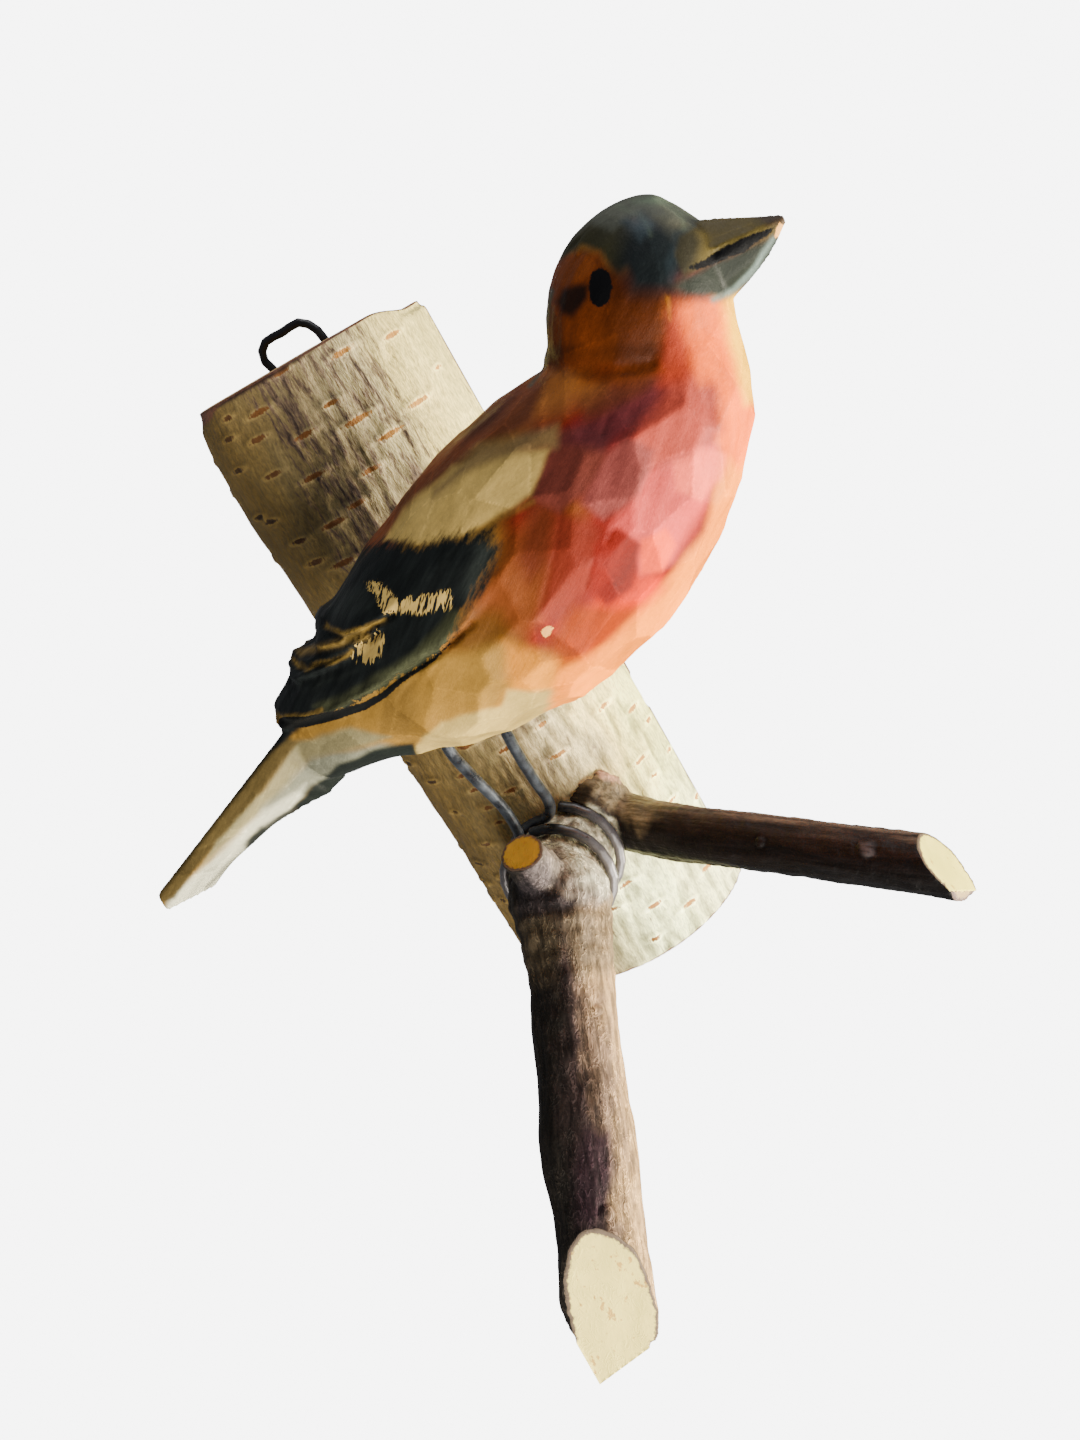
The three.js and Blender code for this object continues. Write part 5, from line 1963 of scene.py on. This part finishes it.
@dataclass
class Wires:
    """The two legs and the hanger.

    Attributes:
        kinds: which wire each solid is.
        grain: distance between vertices.
        rounds: how many times the solids are evened out.
        swells: how far each kind is swelled to its real thickness, in millimetres.
    """

    kinds: tuple[tuple[str, WireKind], ...] = (
        ("leg_wire_near", WireKind.STEEL_LEG),
        ("leg_wire_far", WireKind.STEEL_LEG),
        ("hanger_wire", WireKind.BLACK_HANGER),
    )
    grain: float = 0.16
    rounds: int = 30
    swells: tuple[tuple[WireKind, float], ...] = ((WireKind.STEEL_LEG, 0.03), (WireKind.BLACK_HANGER, 0.12))

    def finishes(self) -> dict[WireKind, bpy.types.Material]:
        """The two materials.

        Returns:
            The material of each kind of wire.
        """
        steel = WireFinish((22, 25, 31), (50, 55, 62), (96, 92, 94), (0.26, 0.42), 0.5)
        black = WireFinish((14, 14, 16), (34, 34, 38), (14, 14, 16), (0.35, 0.5), 0.4)
        return {
            WireKind.STEEL_LEG: steel.make("leg_steel"),
            WireKind.BLACK_HANGER: black.make("black_wire"),
        }

    def build(self, nodes: dict[str, bpy.types.Object]) -> list[bpy.types.Object]:
        """Rounds the faceted wires off.

        Args:
            nodes: the frame's solids by name.

        Returns:
            The finished pieces.
        """
        finishes = self.finishes()
        made = []
        for node, kind in self.kinds:
            piece = FineMesh(node, node + "_round", self.grain).build(nodes[node])
            piece.relax(self.rounds)
            piece.push(dict(self.swells)[kind] + 0.015 * noise_field(piece.points, 2.0, 6.0))
            made.append(piece.finish(finishes[kind], kind.value))
        return made


# Stage and light


@dataclass
class Stage:
    """A plain pale floor under the hanging piece, which curves up far away.

    Attributes:
        floor: its height in metres.
        profile: distance from the middle and height over the floor of its section, in metres.
        shade: its colour.
        glow: brightness of the floor to the camera. It lights nothing else.
    """

    floor: float = -0.42
    profile: tuple[tuple[float, float], ...] = (
        (0.0, 0.0), (1.4, 0.0), (2.0, 0.03), (2.5, 0.15), (2.9, 0.4), (3.1, 0.8), (3.2, 1.5),
    )
    shade: tuple[float, float, float] = (1.0, 1.0, 1.0)
    glow: float = 6.9

    def build(self) -> bpy.types.Object:
        """Spins the section round and dresses it.

        Returns:
            The floor.
        """
        sheet = bmesh.new()
        corners = [sheet.verts.new((out, 0.0, self.floor + up)) for out, up in self.profile]
        lines = [sheet.edges.new(pair) for pair in zip(corners, corners[1:])]
        sides = corners + lines
        up = (0, 0, 1)
        bmesh.ops.spin(sheet, geom=sides, cent=(0, 0, 0), axis=up, angle=math.tau, steps=96, use_merge=True)
        bmesh.ops.remove_doubles(sheet, verts=sheet.verts, dist=1e-5)
        bmesh.ops.recalc_face_normals(sheet, faces=sheet.faces)
        mesh = bpy.data.meshes.new("pale_floor")
        sheet.to_mesh(mesh)
        sheet.free()
        for face in mesh.polygons:
            face.use_smooth = True
        floor = bpy.data.objects.new("pale_floor", mesh)
        bpy.context.scene.collection.objects.link(floor)
        board = Board("pale_paper")
        board.shader.inputs["Emission Color"].default_value = (*self.shade, 1.0)
        board.shader.inputs["Emission Strength"].default_value = self.glow
        mesh.materials.append(board.surface(np.zeros(3), 1.0, specular_ior_level=0.0))
        floor.visible_diffuse = False
        floor.visible_glossy = False
        floor.visible_shadow = False
        return floor


@dataclass(frozen=True)
class SoftBox:
    """A soft studio light that looks at the middle of the piece.

    Attributes:
        name: its name.
        toward: direction from the piece to the light.
        distance: how far away it is, in metres.
        size: its width in metres.
        level: brightness of a white surface that faces it.
        tint: its colour.
        shines: whether it shows as a highlight on glossy paint.
        target: the place it looks at, in metres.
    """

    name: str
    toward: tuple[float, float, float]
    distance: float
    size: float
    level: float
    tint: tuple[float, float, float] = (1.0, 1.0, 1.0)
    shines: bool = True
    target: tuple[float, float, float] = (0.012, -0.035, -0.01)

    def build(self) -> bpy.types.Object:
        """Puts the light in the scene.

        Returns:
            The lamp.
        """
        data = bpy.data.lights.new(self.name, "AREA")
        data.shape = "DISK"
        data.size = self.size
        data.energy = self.level * math.pi**2 * (self.distance**2 + 0.25 * self.size**2)
        data.color = self.tint
        lamp = bpy.data.objects.new(self.name, data)
        back = Vector(self.toward).normalized()
        lamp.location = Vector(self.target) + back * self.distance
        lamp.rotation_euler = back.to_track_quat("Z", "Y").to_euler()
        lamp.visible_glossy = self.shines
        bpy.context.scene.collection.objects.link(lamp)
        return lamp


@dataclass
class Studio:
    """Soft warm light from the right, a weak fill from the left, and a pale surround."""

    lights: tuple[SoftBox, ...] = (
        SoftBox("window_right", (0.816, 0.049, -0.577), 1.1, 0.75, 5.5, (1.0, 0.92, 0.76)),
        SoftBox("window_low", (0.226, -0.691, -0.686), 1.1, 0.9, 3.3, (1.0, 0.95, 0.84)),
        SoftBox("top_soft", (0.45, 0.2, 0.9), 1.0, 0.7, 0.8),
        SoftBox("back_soft", (-0.40, 0.86, -0.10), 1.0, 0.8, 2.2, shines=False),
    )
    surround: tuple[float, float, float] = (0.93, 0.95, 1.0)
    dim: float = 0.3
    pale: float = 6.9

    def build(self) -> None:
        """Sets the world and the lights: the camera sees a pale surround, and a dim one lights the piece."""
        world = bpy.data.worlds.new("pale_surround")
        world.use_nodes = True
        tree = world.node_tree
        dim = tree.nodes["Background"]
        dim.inputs["Color"].default_value = (*self.surround, 1.0)
        dim.inputs["Strength"].default_value = self.dim
        pale = tree.nodes.new("ShaderNodeBackground")
        pale.inputs["Color"].default_value = (1.0, 1.0, 1.0, 1.0)
        pale.inputs["Strength"].default_value = self.pale
        path = tree.nodes.new("ShaderNodeLightPath")
        both = tree.nodes.new("ShaderNodeMixShader")
        tree.links.new(path.outputs["Is Camera Ray"], both.inputs[0])
        tree.links.new(dim.outputs[0], both.inputs[1])
        tree.links.new(pale.outputs[0], both.inputs[2])
        tree.links.new(both.outputs[0], tree.nodes["World Output"].inputs["Surface"])
        bpy.context.scene.world = world
        for light in self.lights:
            light.build()


def main() -> None:
    """Builds the piece over its frame and sets it in the studio."""
    logging.basicConfig(level=logging.INFO, format="%(name)s: %(message)s")
    for startup in list(bpy.data.objects):
        bpy.data.objects.remove(startup)
    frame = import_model()
    nodes = frame["nodes"]
    PhotoView().make()
    made = [BirchLog().build(nodes["birch_plaque"]), ForkedTwig().build(nodes["forked_twig"])]
    made += Wires().build(nodes)
    made.append(CarvedBird().build(nodes["carved_bird"]))
    Stage().build()
    Studio().build()
    for piece in made:
        LOG.info("%s is dressed", piece.name)


if __name__ == "__main__":
    main()
